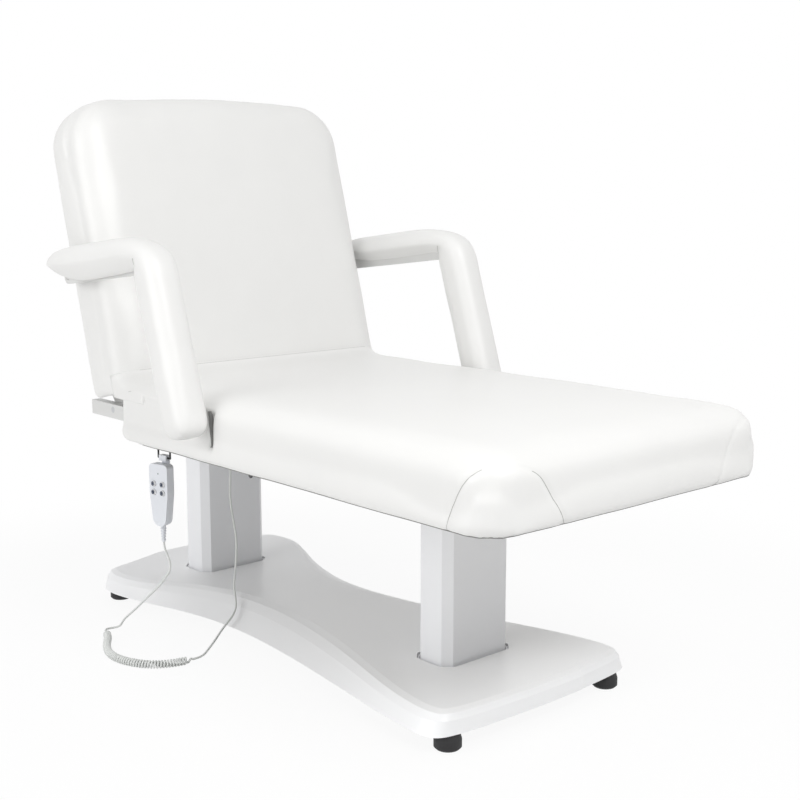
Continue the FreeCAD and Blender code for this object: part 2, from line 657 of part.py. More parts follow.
def build_back_actuator():
    """Motor drive under the seat that pushes the lever of the backrest."""
    y, z = ACTUATOR_Y, ROD_Z
    r = ACTUATOR_TUBE_DIA / 2
    gear_x = ACTUATOR_GEARBOX_X
    gear_end = gear_x + ACTUATOR_GEARBOX_LENGTH
    gear_half = ACTUATOR_GEARBOX_HEIGHT / 2
    mount_x = CROSS_XS[1]
    tongue = ACTUATOR_TONGUE / 2
    motor_y = y + r + ACTUATOR_MOTOR_DIA / 2 + FIT_CLEAR
    outer_y = motor_y + ACTUATOR_MOTOR_DIA / 2
    tube = rod_x(y, z, r, ACTUATOR_TUBE_START, gear_x)
    gearbox = box(gear_x, gear_end, y - gear_half, outer_y, z - gear_half, z + gear_half)
    gearbox = gearbox.makeFillet(BOX_EDGE_R, [e for e in gearbox.Edges if e.BoundBox.XLength > 1])
    eye = rod_y(mount_x, z, ACTUATOR_PIN_DIA, y - tongue, y + tongue)
    neck = box(gear_end, mount_x, y - tongue, y + tongue, z - ACTUATOR_PIN_DIA, z + ACTUATOR_PIN_DIA)
    housing = tube.fuse(gearbox).fuse(neck).fuse(eye).removeSplitter()
    housing = housing.cut(rod_x(y, z, ACTUATOR_ROD_DIA / 2 + RUN_CLEAR, ACTUATOR_TUBE_START, gear_x))
    housing = housing.cut(rod_y(mount_x, z, ACTUATOR_PIN_DIA / 2 + RUN_CLEAR, y - tongue, y + tongue))
    save("back_actuator_housing", housing)
    motor_start = gear_x - ACTUATOR_MOTOR_LENGTH
    save("back_actuator_motor", rod_x(motor_y, z, ACTUATOR_MOTOR_DIA / 2, motor_start, gear_x))

    cheeks = []
    for s in (1, -1):
        inner = y + s * (tongue + RUN_CLEAR)
        outer = inner + s * PLATE
        edges = slot_edges(V(mount_x, 0, z), V(mount_x, 0, BEAM_TOP), ACTUATOR_PIN_DIA)
        cheek = plate_xz(edges, inner, outer)
        cheeks.append(cheek.common(box(mount_x - CROSS_WIDTH, mount_x + CROSS_WIDTH, inner, outer,
                                       z - CROSS_WIDTH, BEAM_TOP)))
    pin_reach = tongue + RUN_CLEAR + PLATE
    pin = rod_y(mount_x, z, ACTUATOR_PIN_DIA / 2, y - pin_reach, y + pin_reach)
    save("back_actuator_mount", cheeks[0].fuse(cheeks[1]).fuse(pin))

    eye_half = LEVER_PLATE_GAP / 2 - FIT_CLEAR
    eye = rod_y(ROD_PIN_X, z, ROD_EYE_DIA / 2, y - eye_half, y + eye_half)
    rod = rod_x(y, z, ACTUATOR_ROD_DIA / 2, ROD_PIN_X + ROD_EYE_DIA / 4, ROD_PIN_X + ROD_TAIL)
    pin_reach = LEVER_PLATE_GAP / 2 + PLATE + FIT_CLEAR
    pin = rod_y(ROD_PIN_X, z, ACTUATOR_PIN_DIA / 2, y - pin_reach, y + pin_reach)
    save("back_actuator_rod", rod.fuse(eye).fuse(pin).removeSplitter())


def lever_plates():
    """Slotted twin plates under the hinge, drawn with the backrest flat."""
    swing = V(math.sin(LEVER_HALF), 0, -math.cos(LEVER_HALF))
    half = LEVER_WIDTH / 2
    plates = []
    for s in (1, -1):
        inner = ACTUATOR_Y + s * LEVER_PLATE_GAP / 2
        outer = inner + s * PLATE
        plate = plate_xz(slot_edges(V(0, 0, 0), swing * LEVER_RADIUS, half), inner, outer)
        slack = ACTUATOR_PIN_DIA / 2 + LEVER_SLOT_SLACK
        slot = plate_xz(slot_edges(swing * LEVER_DROP, swing * LEVER_RADIUS, slack), inner, outer)
        plates.append(plate.cut(slot))
    return plates


def back_plan(inset):
    """Outline of the backrest cushion lying flat, drawn in by an inset."""
    return rounded_plan(-BACK_END + inset, -BACK_START - inset, BACK_WIDTH / 2 - inset,
                        BACK_TOP_CORNER_R - inset, BACK_LOW_CORNER_R - inset)


def build_back():
    """Backrest, drawn flat about the hinge and then raised."""
    front = HINGE_DEPTH
    rear = HINGE_DEPTH - BACK_THICK
    board_top = BOARD_TOP - HINGE_Z - FOAM_THICK / 2
    board_bottom = board_top - BOARD_THICK
    bar_bottom = rear + BACK_PANEL
    bar_top = board_bottom
    bar_inner = BACK_BAR_OUTER_Y - BACK_BAR_WIDTH

    cushion = pad_block(back_plan(0), rear, front)
    cushion = cushion.makeFillet(BACK_EDGE_R, edges_at(cushion, front))
    cushion = cushion.makeFillet(BACK_REAR_R, edges_at(cushion, rear))
    cushion = cushion.cut(pad_block(back_plan(BACK_SKIRT), rear, board_top + SOFT_GAP))
    mouth = BACK_WIDTH / 2 - BACK_SKIRT
    cushion = cushion.cut(box(-BACK_BOARD_START, 0, -mouth, mouth, rear, board_top + SOFT_GAP))
    relief_x = RAIL_HEAD_X - HINGE_X - RAIL_RELIEF
    relief_top = RAIL_TOP - HINGE_Z + RAIL_RELIEF
    bracket_x = -LEG_LENGTH
    bracket_half = STUD_PLATE_LENGTH / 2 + FIT_CLEAR
    bracket_out = mouth - FIT_CLEAR
    bracket_in = bracket_out - STUD_PLATE
    for _, s in SIDES:
        relief = box(relief_x, 0, s * (BACK_BAR_OUTER_Y - FIT_CLEAR), s * (RAIL_OUTER_Y + FIT_CLEAR),
                     rear, relief_top)
        pocket = box(bracket_x - bracket_half, bracket_x + bracket_half, s * (bracket_in - FIT_CLEAR),
                     s * (bracket_out + FIT_CLEAR), board_bottom, ARM_PIN_DIA + FIT_CLEAR)
        hole = rod_y(bracket_x, 0, ARM_PIN_DIA / 2 + FIT_CLEAR, s * bracket_out, s * BACK_WIDTH / 2)
        cushion = cushion.cut(relief).cut(pocket).cut(hole)
    save("back_cushion", place_back(cushion))

    inset = BACK_SKIRT + BACK_BOARD_MARGIN
    board = pad_block(back_plan(inset), board_bottom, board_top)
    board = board.common(box(-BACK_END, -BACK_BOARD_START, -BACK_WIDTH, BACK_WIDTH, board_bottom, board_top))
    save("back_board", place_back(board))
    panel = pad_block(back_plan(BACK_SKIRT + FIT_CLEAR), rear, rear + BACK_PANEL)
    panel = panel.common(box(-BACK_END, -BACK_BOARD_START, -BACK_WIDTH, BACK_WIDTH, rear, rear + BACK_PANEL))
    save("back_panel", place_back(panel))

    bars = []
    lug_out = BACK_BAR_OUTER_Y + LUG_THICK
    lug_middle = (bar_bottom + bar_top) / 2
    level = box(-LUG_REACH * 2, LUG_REACH, -BACK_WIDTH, BACK_WIDTH, bar_bottom, LUG_RADIUS)
    for _, s in SIDES:
        bar = tube_x(-BACK_BAR_END, -BACK_BAR_START, s * bar_inner, s * BACK_BAR_OUTER_Y, bar_bottom, bar_top)
        edges = slot_edges(V(0, 0, 0), V(-LUG_REACH, 0, lug_middle), LUG_RADIUS)
        lug = plate_xz(edges, s * BACK_BAR_OUTER_Y, s * lug_out).common(level)
        bore = rod_y(0, 0, HINGE_PIN_DIA / 2 + RUN_CLEAR, s * BACK_BAR_OUTER_Y, s * lug_out)
        bars.append(place_back(bar.fuse(lug).cut(bore).removeSplitter()))
    save("back_side_bars", group(bars))

    reach = BACK_BAR_WIDTH / 2
    crosses = [place_back(tube_y(-along - reach, -along + reach, -bar_inner, bar_inner, bar_bottom, bar_top))
               for along in BACK_CROSS_ALONG]
    save("back_cross_tubes", group(crosses))

    torque = rod_y(0, 0, TORQUE_BAR_DIA / 2, -BACK_BAR_OUTER_Y, BACK_BAR_OUTER_Y)
    save("back_torque_bar", place_back(torque.fuse(lever_plates()).removeSplitter()))

    brackets = []
    for _, s in SIDES:
        half = STUD_PLATE_LENGTH / 2
        strap = box(bracket_x - half, bracket_x + half, s * BACK_BAR_OUTER_Y, s * bracket_out,
                    board_bottom - STUD_PLATE, board_bottom)
        plate = box(bracket_x - half, bracket_x + half, s * bracket_in, s * bracket_out,
                    board_bottom - STUD_PLATE, ARM_PIN_DIA)
        pin = rod_y(bracket_x, 0, ARM_PIN_DIA / 2, s * bracket_in, s * pad_core_outer())
        brackets.append(place_back(strap.fuse(plate).fuse(pin)))
    save("arm_hinge_brackets", group(brackets))

    lean, along, foot = BACK_LEAN, LEG_DIRECTION, FLAP_FOOT
    end = foot + along * FLAP_BACK_REACH
    start = foot + X_AXIS * FLAP_SEAT_REACH
    opening = (math.pi - BACK_RAKE) / 2
    middle = (X_AXIS + along).normalize()
    corner = foot + middle * (FLAP_THICK / math.sin(opening))
    reach = FLAP_BEND_R / math.tan(opening)
    bend = corner + middle * (FLAP_BEND_R / math.sin(opening) - FLAP_BEND_R)
    corners = [start + Z_AXIS * FLAP_THICK, start, foot, end, end + lean * FLAP_THICK]
    edges = [Part.LineSegment(a, b).toShape() for a, b in zip(corners, corners[1:])]
    edges += [Part.LineSegment(corners[-1], corner + along * reach).toShape(),
              Part.Arc(corner + along * reach, bend, corner + X_AXIS * reach).toShape(),
              Part.LineSegment(corner + X_AXIS * reach, corners[0]).toShape()]
    save("hinge_flap", plate_xz(edges, -FLAP_HALF, FLAP_HALF))


def pad_core_outer():
    """Outer face of the plate inside an armrest pad, which lies inboard of the leg's plate."""
    return ARM_MIDDLE_Y - ARM_CORE / 2 - RUN_CLEAR


def build_arms():
    """Armrest legs and pads, each a steel plate inside padding."""
    outer_y = ARM_INNER_Y + ARM_WIDTH
    anchor = HINGE + (ELBOW - LEG_PIVOT)
    core_in = ARM_MIDDLE_Y - ARM_CORE / 2
    core_out = ARM_MIDDLE_Y + ARM_CORE / 2
    pad_in = pad_core_outer() - ARM_CORE
    hole = ARM_PIN_DIA / 2 + RUN_CLEAR
    for side, s in SIDES:
        core = plate_xz(slot_edges(LEG_PIVOT, ELBOW, LEG_CORE_WIDTH / 2), s * core_in, s * core_out)
        core = core.cut(rod_y(LEG_PIVOT.x, LEG_PIVOT.z, STUD_DIA / 2 + RUN_CLEAR, s * core_in, s * core_out))
        core = core.fuse(rod_y(ELBOW.x, ELBOW.z, ARM_PIN_DIA / 2, s * pad_in, s * core_in))
        save("arm_leg_plate_" + side, core)

        leg = plate_xz(slot_edges(LEG_FOOT, ELBOW, LEG_HALF), s * ARM_INNER_Y, s * outer_y)
        faces = [f for f in leg.Faces if f.BoundBox.YLength < LEVEL_TOLERANCE]
        leg = leg.makeFillet(LEG_EDGE_R, [e for f in faces for e in f.Edges])
        sleeve = plate_xz(slot_edges(LEG_PIVOT, ELBOW, LEG_CORE_WIDTH / 2 + SOFT_GAP),
                          s * (core_in - SOFT_GAP), s * (core_out + SOFT_GAP))
        stud = rod_y(LEG_PIVOT.x, LEG_PIVOT.z, STUD_DIA / 2 + FIT_CLEAR, s * ARM_INNER_Y, s * core_in)
        slit = rod_y(ELBOW.x, ELBOW.z, LEG_HALF + ELBOW_CLEAR, s * (pad_in - SOFT_GAP), s * core_out)
        save("arm_leg_padding_" + side, leg.cut(sleeve).cut(stud).cut(slit))

        plate = plate_xz(slot_edges(ELBOW, anchor, PAD_CORE_WIDTH / 2), s * pad_in, s * pad_core_outer())
        plate = plate.cut(rod_y(ELBOW.x, ELBOW.z, hole, s * pad_in, s * pad_core_outer()))
        plate = plate.cut(rod_y(anchor.x, anchor.z, hole + FIT_CLEAR, s * pad_in, s * pad_core_outer()))
        save("arm_pad_plate_" + side, plate)

        pad = arm_pad(s * ARM_INNER_Y, s * outer_y)
        sleeve = plate_xz(slot_edges(ELBOW, anchor, PAD_CORE_WIDTH / 2 + SOFT_GAP),
                          s * (pad_in - SOFT_GAP), s * (pad_core_outer() + SOFT_GAP))
        pin = rod_y(anchor.x, anchor.z, ARM_PIN_DIA / 2 + LEVER_SLOT_SLACK, s * ARM_INNER_Y, s * pad_in)
        save("arm_pad_padding_" + side, pad.cut(sleeve).cut(pin))


def arm_pad(y0, y1):
    """Armrest pad in side view: thicker and lower at its tip, hollowed round the top of the leg."""
    top = ELBOW.z + LEG_HALF
    front_low = top - PAD_HEIGHT
    lip_x = ELBOW.x - PAD_LIP_SETBACK
    tip_r = PAD_REAR_HEIGHT / 2
    tip_middle = V(ELBOW.x - PAD_REACH + tip_r, 0, front_low - PAD_REAR_DROP + tip_r)
    slope = math.atan2(PAD_REAR_DROP, lip_x - tip_middle.x)
    outward = V(-math.cos(slope), 0, -math.sin(slope)) * tip_r
    upward = V(-math.sin(slope), 0, math.cos(slope)) * tip_r
    eighth = math.sqrt(0.5)
    round_tip = [tip_middle + upward, tip_middle + (upward + outward) * eighth, tip_middle + outward,
                 tip_middle + (outward - upward) * eighth, tip_middle - upward]
    high, low = V(lip_x, 0, top), V(lip_x, 0, front_low)
    crown = (high + round_tip[0]) / 2 + Z_AXIS * PAD_CROWN
    curve = Part.BSplineCurve()
    curve.interpolate(Points=[high, crown] + round_tip + [low], InitialTangent=V(-1, 0, 0),
                      FinalTangent=outward * -1)
    pad = plate_xz([curve.toShape(), Part.LineSegment(low, high).toShape()], y0, y1)
    rims = [f for f in pad.Faces if f.BoundBox.YLength < LEVEL_TOLERANCE]
    long_edges = [e for f in rims for e in f.Edges if e.BoundBox.XLength > LEVEL_TOLERANCE]
    pad = pad.makeFillet(PAD_EDGE_R, long_edges)
    return pad.cut(rod_y(ELBOW.x, ELBOW.z, LEG_HALF + ELBOW_CLEAR, y0, y1))


def build_electrics():
    """Control box, gland, cable and the wire that the handset hangs from."""
    x0, x1 = BOX_X - BOX_LENGTH / 2, BOX_X + BOX_LENGTH / 2
    y0, y1 = BOX_Y - BOX_WIDTH / 2, BOX_Y + BOX_WIDTH / 2
    z0 = RAIL_TOP - BOX_HEIGHT
    case = box(x0, x1, y0, y1, z0, RAIL_TOP)
    case = case.makeFillet(BOX_EDGE_R, [e for e in case.Edges if e.BoundBox.ZMax < RAIL_TOP - LEVEL_TOLERANCE
                                        or e.BoundBox.ZLength > 1])
    inlet_z = (z0 + RAIL_TOP) / 2
    inlet = box(x1 - INLET_DEPTH, x1, BOX_Y - INLET_WIDTH / 2, BOX_Y + INLET_WIDTH / 2,
                inlet_z - INLET_HEIGHT / 2, inlet_z + INLET_HEIGHT / 2)
    save("control_box", case.cut(inlet))

    exit_point = CORD_DROP[0]
    gland = Part.makeCone(GLAND_TIP_DIA / 2, GLAND_DIA / 2, z0 - exit_point.z, exit_point, Z_AXIS)
    save("cord_gland", gland)
    save("motor_cable", cord_tube(CABLE_LOOP, CABLE_DIA, "motor cable"))

    bar_z = HANDSET_TOP_Z + HOOK_RISE - HOOK_THICK - RUN_CLEAR - HANGER_DIA / 2
    r = HANGER_DIA / 2
    half = HANGER_SPAN / 2
    turn = FreeCAD.Rotation(Z_AXIS, HANDSET_TURN)
    spot = V(HANDSET_X, HANDSET_Y, 0)
    left, right = [spot + turn.multVec(V(dx, hook_bar_y(), 0)) for dx in (-half, half)]
    bar = Part.makeCylinder(r, HANGER_SPAN, V(left.x, left.y, bar_z), right - left)
    legs = [rod_z(p.x, p.y, r, bar_z, RAIL_BOTTOM) for p in (left, right)]
    elbows = [Part.makeSphere(r, V(p.x, p.y, bar_z)) for p in (left, right)]
    save("handset_hanger", bar.fuse(legs + elbows).removeSplitter())
    save("handset_cord_lead", cord_tube(CORD_LEAD, CORD_DIA, "cord lead"))
    save("handset_cord_coil", cord_tube(CORD_COIL, COIL_DIA, "cord coil"))
    save("handset_cord_drop", cord_tube(CORD_DROP, CORD_DIA, "cord drop"))


def hook_bar_y():
    """Depth of the hanger's bar behind the handset's centre, in the handset's own frame."""
    return HANDSET_DEPTH / 2 - HANGER_DIA / 2 - RUN_CLEAR


def handset_outline(inset):
    """Front outline of the handset below its top edge, drawn in by an inset."""
    a = HANDSET_WIDTH / 2 - inset
    b = HANDSET_FOOT_WIDTH / 2 - inset
    r = HANDSET_CORNER_R - inset
    top, low = -inset, -HANDSET_HEIGHT + inset
    taper = -HANDSET_TAPER_START
    bite = r * (1 - math.sqrt(0.5))
    foot_r = b * HANDSET_FOOT_ROUND
    quarter = math.sqrt(0.5)
    right = [
        Part.Arc(V(a - r, 0, top), V(a - bite, 0, top - bite), V(a, 0, top - r)).toShape(),
        Part.LineSegment(V(a, 0, top - r), V(a, 0, taper)).toShape(),
        Part.LineSegment(V(a, 0, taper), V(b, 0, low + foot_r)).toShape(),
        Part.Arc(V(b, 0, low + foot_r), V(b * quarter, 0, low + foot_r * (1 - quarter)),
                 V(0, 0, low)).toShape(),
    ]
    left = [e.mirror(V(0, 0, 0), X_AXIS) for e in right]
    top_edge = Part.LineSegment(V(a - r, 0, top), V(r - a, 0, top)).toShape()
    return Part.__sortEdges__(right + left + [top_edge])


def build_handset():
    """Handset drawn facing -Y about its own centre, then turned the way it hangs."""
    front = -HANDSET_DEPTH / 2
    rear = HANDSET_DEPTH / 2
    split = front + HANDSET_SPLIT
    wall = HANDSET_WALL
    centres = {}
    for column, dx in (("lift", -0.5), ("back", 0.5)):
        for row, drop in (("up", 0), ("down", 1)):
            place_z = -BUTTON_ROW_DROP - drop * BUTTON_PITCH_Z
            centres["button_" + column + "_" + row] = (dx * BUTTON_PITCH_X, place_z)

    shell = plate_xz(handset_outline(0), front, split)
    shell = shell.cut(plate_xz(handset_outline(wall), front + wall, split))
    for x, z in centres.values():
        shell = shell.cut(rod_y(x, z, BUTTON_DIA / 2 + BUTTON_CLEAR, front, split))
    shell = shell.cut(rod_y(0, -LED_DROP, LED_DIA / 2, front, front + wall))
    socket = rod_z(0, 0, RELIEF_DIA / 2, -HANDSET_HEIGHT - wall, -HANDSET_HEIGHT + wall)
    save("handset_front", place_handset(shell.cut(socket)))

    back = plate_xz(handset_outline(0), split, rear)
    rim = [e for e in back.Edges if abs(e.BoundBox.YMin - rear) < LEVEL_TOLERANCE]
    back = back.makeFillet(HANDSET_EDGE_R, rim)
    back = back.cut(plate_xz(handset_outline(wall), split, rear - wall))
    save("handset_rear", place_handset(back.cut(socket)))

    pcb_y = split + PCB_GAP
    save("handset_board", place_handset(plate_xz(handset_outline(wall), pcb_y, pcb_y + PCB_THICK)))
    save("handset_lens", place_handset(rod_y(0, -LED_DROP, LED_DIA / 2, front, front + wall)))
    for name, (x, z) in centres.items():
        cap = rod_y(x, z, BUTTON_DIA / 2, front - BUTTON_PROUD, pcb_y - BUTTON_TRAVEL - RUN_CLEAR)
        crown = [e for e in cap.Edges if e.BoundBox.YMax < front - BUTTON_PROUD + LEVEL_TOLERANCE]
        save(name, place_handset(cap.makeFillet(BUTTON_PROUD / 2, crown)))

    t = HOOK_THICK
    bar_front = hook_bar_y() - HANGER_DIA / 2 - RUN_CLEAR
    crest = HOOK_RISE
    profile = [(rear, -HOOK_TAIL), (rear + t, -HOOK_TAIL), (rear + t, crest), (bar_front - t, crest),
               (bar_front - t, crest - HOOK_LIP), (bar_front, crest - HOOK_LIP), (bar_front, crest - t),
               (rear, crest - t)]
    points = [V(-HOOK_WIDTH / 2, y, z) for y, z in profile]
    hook = Part.Face(Part.makePolygon(points + points[:1])).extrude(V(HOOK_WIDTH, 0, 0))
    save("handset_hook", place_handset(hook))

    outline = [(0, -wall), (RELIEF_DIA / 2, -wall)]
    step = RELIEF_LENGTH / (RELIEF_RIBS + 1)
    taper = (RELIEF_DIA - RELIEF_TIP_DIA) / 2 / RELIEF_LENGTH
    for rib in range(1, RELIEF_RIBS + 1):
        depth = rib * step
        shrink = taper * depth
        neck = RELIEF_DIA / 2 - shrink - HANDSET_WALL / 2
        crest = RELIEF_RIB_DIA / 2 - shrink
        outline += [(neck, depth - step / 2), (neck, depth), (crest, depth), (crest, depth + step / 3)]
    outline += [(RELIEF_TIP_DIA / 2, RELIEF_LENGTH), (0, RELIEF_LENGTH)]
    points = [V(r, 0, -HANDSET_HEIGHT - d) for r, d in outline]
    relief = Part.Face(Part.makePolygon(points + points[:1])).revolve(V(0, 0, 0), Z_AXIS, 360)
    save("handset_strain_relief", place_handset(relief))


# The handset cord: a lead down from the handset, a curly stretch on the floor and a drop from the gland
RELIEF_EXIT = V(HANDSET_X, HANDSET_Y, HANDSET_TOP_Z - HANDSET_HEIGHT - RELIEF_LENGTH)
COIL_START = V(-447.1, -379.4, 9)
CORD_LEAD = [
    RELIEF_EXIT, V(HANDSET_X, HANDSET_Y, 235), V(-241, -340, 221), V(-231, -340, 205), V(-233, -340, 188),
    V(-248, -341, 172), V(-279, -342, 143), V(-312, -344, 118), V(-344, -346, 92), V(-374, -350, 64),
    V(-404, -354, 37), V(-424, -345, 18), V(-441, -337, 6), V(-457, -345, 4), V(-467.6, -358, 6),
    V(-463, -374.2, 9), COIL_START,
]
CORD_COIL = [
    COIL_START, V(-412, -391, 9), V(-370, -420, 9), V(-330, -439, 9), V(-293, -445, 9), V(-259, -441, 9),
    V(-224, -427, 9), V(-198, -407, 9), V(-183, -381, 9), V(-174, -351, 9), V(-169, -323, 9),
]
CORD_DROP = [
    V(-272, -156, 425), V(-272, -156, 400), V(-276, -154, 360), V(-285, -151, 303), V(-278, -147, 254),
    V(-273, -143, 208), V(-281, -140, 170), V(-291, -137, 130), V(-298, -136, 102), V(-292, -139, 84),
    V(-267, -153, 75), V(-246, -167, 66), V(-231, -186, 55), V(-225, -215, 38), V(-204, -252, 22),
    V(-187, -281, 13), V(-172, -304, 9), V(-169, -322, 9),
]
CABLE_LOOP = [
    V(-238, -118, RAIL_TOP - BOX_HEIGHT), V(-238, -118, 410), V(-250, -111, 368), V(-272, -102, 345),
    V(-297, -90, 348), V(-320, -70, 374), V(-320, -70, BEAM_BOTTOM),
]

os.makedirs("parts", exist_ok=True)
build_base()
build_lift()
build_seat()
build_back_actuator()
build_back()
build_arms()
build_electrics()
build_handset()
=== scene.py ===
"""Electric massage table: upholstery, finishes, handset cord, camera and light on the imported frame."""

import json
import logging
import math
from dataclasses import dataclass
from enum import Enum
from typing import Iterable, Optional, Sequence, TypeVar

import bmesh
import bpy
import numpy as np
from mathutils import Matrix, Vector, noise
from mathutils.bvhtree import BVHTree
from mathutils.kdtree import KDTree

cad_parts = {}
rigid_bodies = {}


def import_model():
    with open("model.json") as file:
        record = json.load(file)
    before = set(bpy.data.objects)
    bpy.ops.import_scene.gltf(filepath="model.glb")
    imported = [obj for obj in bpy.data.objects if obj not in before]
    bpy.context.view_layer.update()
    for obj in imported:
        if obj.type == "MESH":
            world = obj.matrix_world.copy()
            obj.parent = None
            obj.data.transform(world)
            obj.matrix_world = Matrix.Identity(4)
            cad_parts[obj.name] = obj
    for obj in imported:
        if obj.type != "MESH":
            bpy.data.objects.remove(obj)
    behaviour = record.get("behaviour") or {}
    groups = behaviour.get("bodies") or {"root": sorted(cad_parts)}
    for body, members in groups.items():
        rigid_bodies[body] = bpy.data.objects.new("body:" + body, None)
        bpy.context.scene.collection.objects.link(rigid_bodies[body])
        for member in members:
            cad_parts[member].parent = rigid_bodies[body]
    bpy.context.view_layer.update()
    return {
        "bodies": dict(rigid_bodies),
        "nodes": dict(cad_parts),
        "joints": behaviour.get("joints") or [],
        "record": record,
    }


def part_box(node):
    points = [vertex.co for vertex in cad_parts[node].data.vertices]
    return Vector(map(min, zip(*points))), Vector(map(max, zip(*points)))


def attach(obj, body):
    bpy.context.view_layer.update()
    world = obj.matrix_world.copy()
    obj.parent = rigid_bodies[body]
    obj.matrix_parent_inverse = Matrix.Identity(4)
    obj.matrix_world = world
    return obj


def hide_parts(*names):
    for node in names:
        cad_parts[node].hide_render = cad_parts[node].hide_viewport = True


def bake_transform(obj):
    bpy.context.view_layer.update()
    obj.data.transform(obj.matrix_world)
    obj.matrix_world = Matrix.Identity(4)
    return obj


LOG = logging.getLogger("massage_table")
Point = tuple[float, float, float]
Color = tuple[float, float, float]
Outline = list[tuple[float, float]]
Row = TypeVar("Row", Vector, np.ndarray)
Mesh, Object = bpy.types.Mesh, bpy.types.Object
Tree, Node, Socket = bpy.types.NodeTree, bpy.types.Node, bpy.types.NodeSocket
Feeds = dict[int | str, Socket]
Values = dict[int | str, object]
Step = tuple[str, dict[str, object]]


class Relief(Enum):
    """Fine surface structure of a finish."""

    HIDE = "hide grain"
    PEEL = "paint peel"
    MOULD = "mould grain"
    BRUSHED = "brushed metal"
    PLY = "wood grain"


# Nodes and objects


def wire(tree: Tree, target: Node, feeds: Feeds, values: Optional[Values] = None) -> None:
    """Sets and links the inputs of a node.

    Args:
        tree: tree of the node.
        target: the node.
        feeds: sockets that feed its inputs.
        values: values of its other inputs.
    """
    for key, value in (values or {}).items():
        target.inputs[key].default_value = value
    for key, socket in feeds.items():
        tree.links.new(socket, target.inputs[key])


def node(tree: Tree, kind: str, feeds: Optional[Feeds] = None, values: Optional[Values] = None,
         **settings: object) -> Node:
    """Adds a node to a tree.

    Args:
        tree: tree that gets the node.
        kind: type of the node.
        feeds: sockets that feed its inputs.
        values: values of its other inputs.
        settings: further settings of the node.

    Returns:
        The node.
    """
    made = tree.nodes.new(kind)
    for name, setting in settings.items():
        setattr(made, name, setting)
    wire(tree, made, feeds or {}, values)
    return made


def new_tree(name: str, kind: str, inputs: dict[str, str], outputs: dict[str, str]) -> tuple[Tree, Node, Node]:
    """Starts a node group.

    Args:
        name: name of the group.
        kind: its type.
        inputs: kinds of the sockets going in, by name.
        outputs: kinds of the sockets coming out, by name.

    Returns:
        The tree, its input node and its output node.
    """
    tree = bpy.data.node_groups.new(name, kind)
    for way, sockets in (("INPUT", inputs), ("OUTPUT", outputs)):
        for socket, value in sockets.items():
            tree.interface.new_socket(socket, in_out=way, socket_type="NodeSocket" + value)
    return tree, tree.nodes.new("NodeGroupInput"), tree.nodes.new("NodeGroupOutput")


def put(name: str, data: bpy.types.ID) -> Object:
    """Puts data into the scene.

    Args:
        name: name of the object.
        data: its mesh, curve, camera or light.

    Returns:
        The object.
    """
    obj = bpy.data.objects.new(name, data)
    bpy.context.scene.collection.objects.link(obj)
    return obj


def aimed(place: Sequence[float], heading: Vector) -> Matrix:
    """Gives the matrix of a camera or lamp that looks along a heading."""
    return Matrix.Translation(place) @ heading.to_track_quat("-Z", "Y").to_matrix().to_4x4()


# Finishes

BROAD_TONE = 0.012


class SurfaceGroups:
    """Shader node groups that the finishes share."""

    @staticmethod
    def noise(tree: Tree, vector: Socket, scale: Socket, factor: float, detail: float) -> Socket:
        """Adds a noise texture whose scale is a share of the group's scale.

        Args:
            tree: group that gets the nodes.
            vector: coordinates of the pattern.
            scale: the group's scale.
            factor: share of that scale.
            detail: octaves of the noise.

        Returns:
            The noise value.
        """
        times = node(tree, "ShaderNodeMath", {0: scale}, {1: factor}, operation="MULTIPLY")
        feeds = {"Vector": vector, "Scale": times.outputs[0]}
        return node(tree, "ShaderNodeTexNoise", feeds, {"Detail": detail}).outputs["Fac"]

    @classmethod
    def get(cls, relief: Relief) -> Tree:
        """Gives the group for a relief, made on its first use.

        Args:
            relief: kind of surface structure.

        Returns:
            The node group.
        """
        made = bpy.data.node_groups.get(relief.value)
        if made:
            return made
        tree, source, sink = new_tree(relief.value, "ShaderNodeTree", {"Vector": "Vector", "Scale": "Float"},
                                      {"Height": "Float", "Tone": "Float"})
        vector, scale = source.outputs["Vector"], source.outputs["Scale"]
        broad = cls.noise(tree, vector, scale, BROAD_TONE, 3.0)
        if relief is Relief.HIDE:
            cells = node(tree, "ShaderNodeTexVoronoi", {"Vector": vector, "Scale": scale}, {"Smoothness": 0.45},
                         feature="SMOOTH_F1")
            pores = cls.noise(tree, vector, scale, 1.9, 2.0)
            blend = node(tree, "ShaderNodeMix", {2: cells.outputs["Distance"], 3: pores}, {"Factor": 0.35})
            height = blend.outputs[0]
        elif relief in (Relief.BRUSHED, Relief.PLY):
            stretch = node(tree, "ShaderNodeMapping", {"Vector": vector}, {"Scale": (0.06, 1.0, 1.0)})
            height = cls.noise(tree, stretch.outputs["Vector"], scale, 1.0, 4.0)
            if relief is Relief.PLY:
                broad = node(tree, "ShaderNodeMix", {2: broad, 3: height}, {"Factor": 0.6}).outputs[0]
        else:
            height = cls.noise(tree, vector, scale, 1.0, 4.0 if relief is Relief.MOULD else 1.0)
        wire(tree, sink, {"Height": height, "Tone": broad})
        return tree


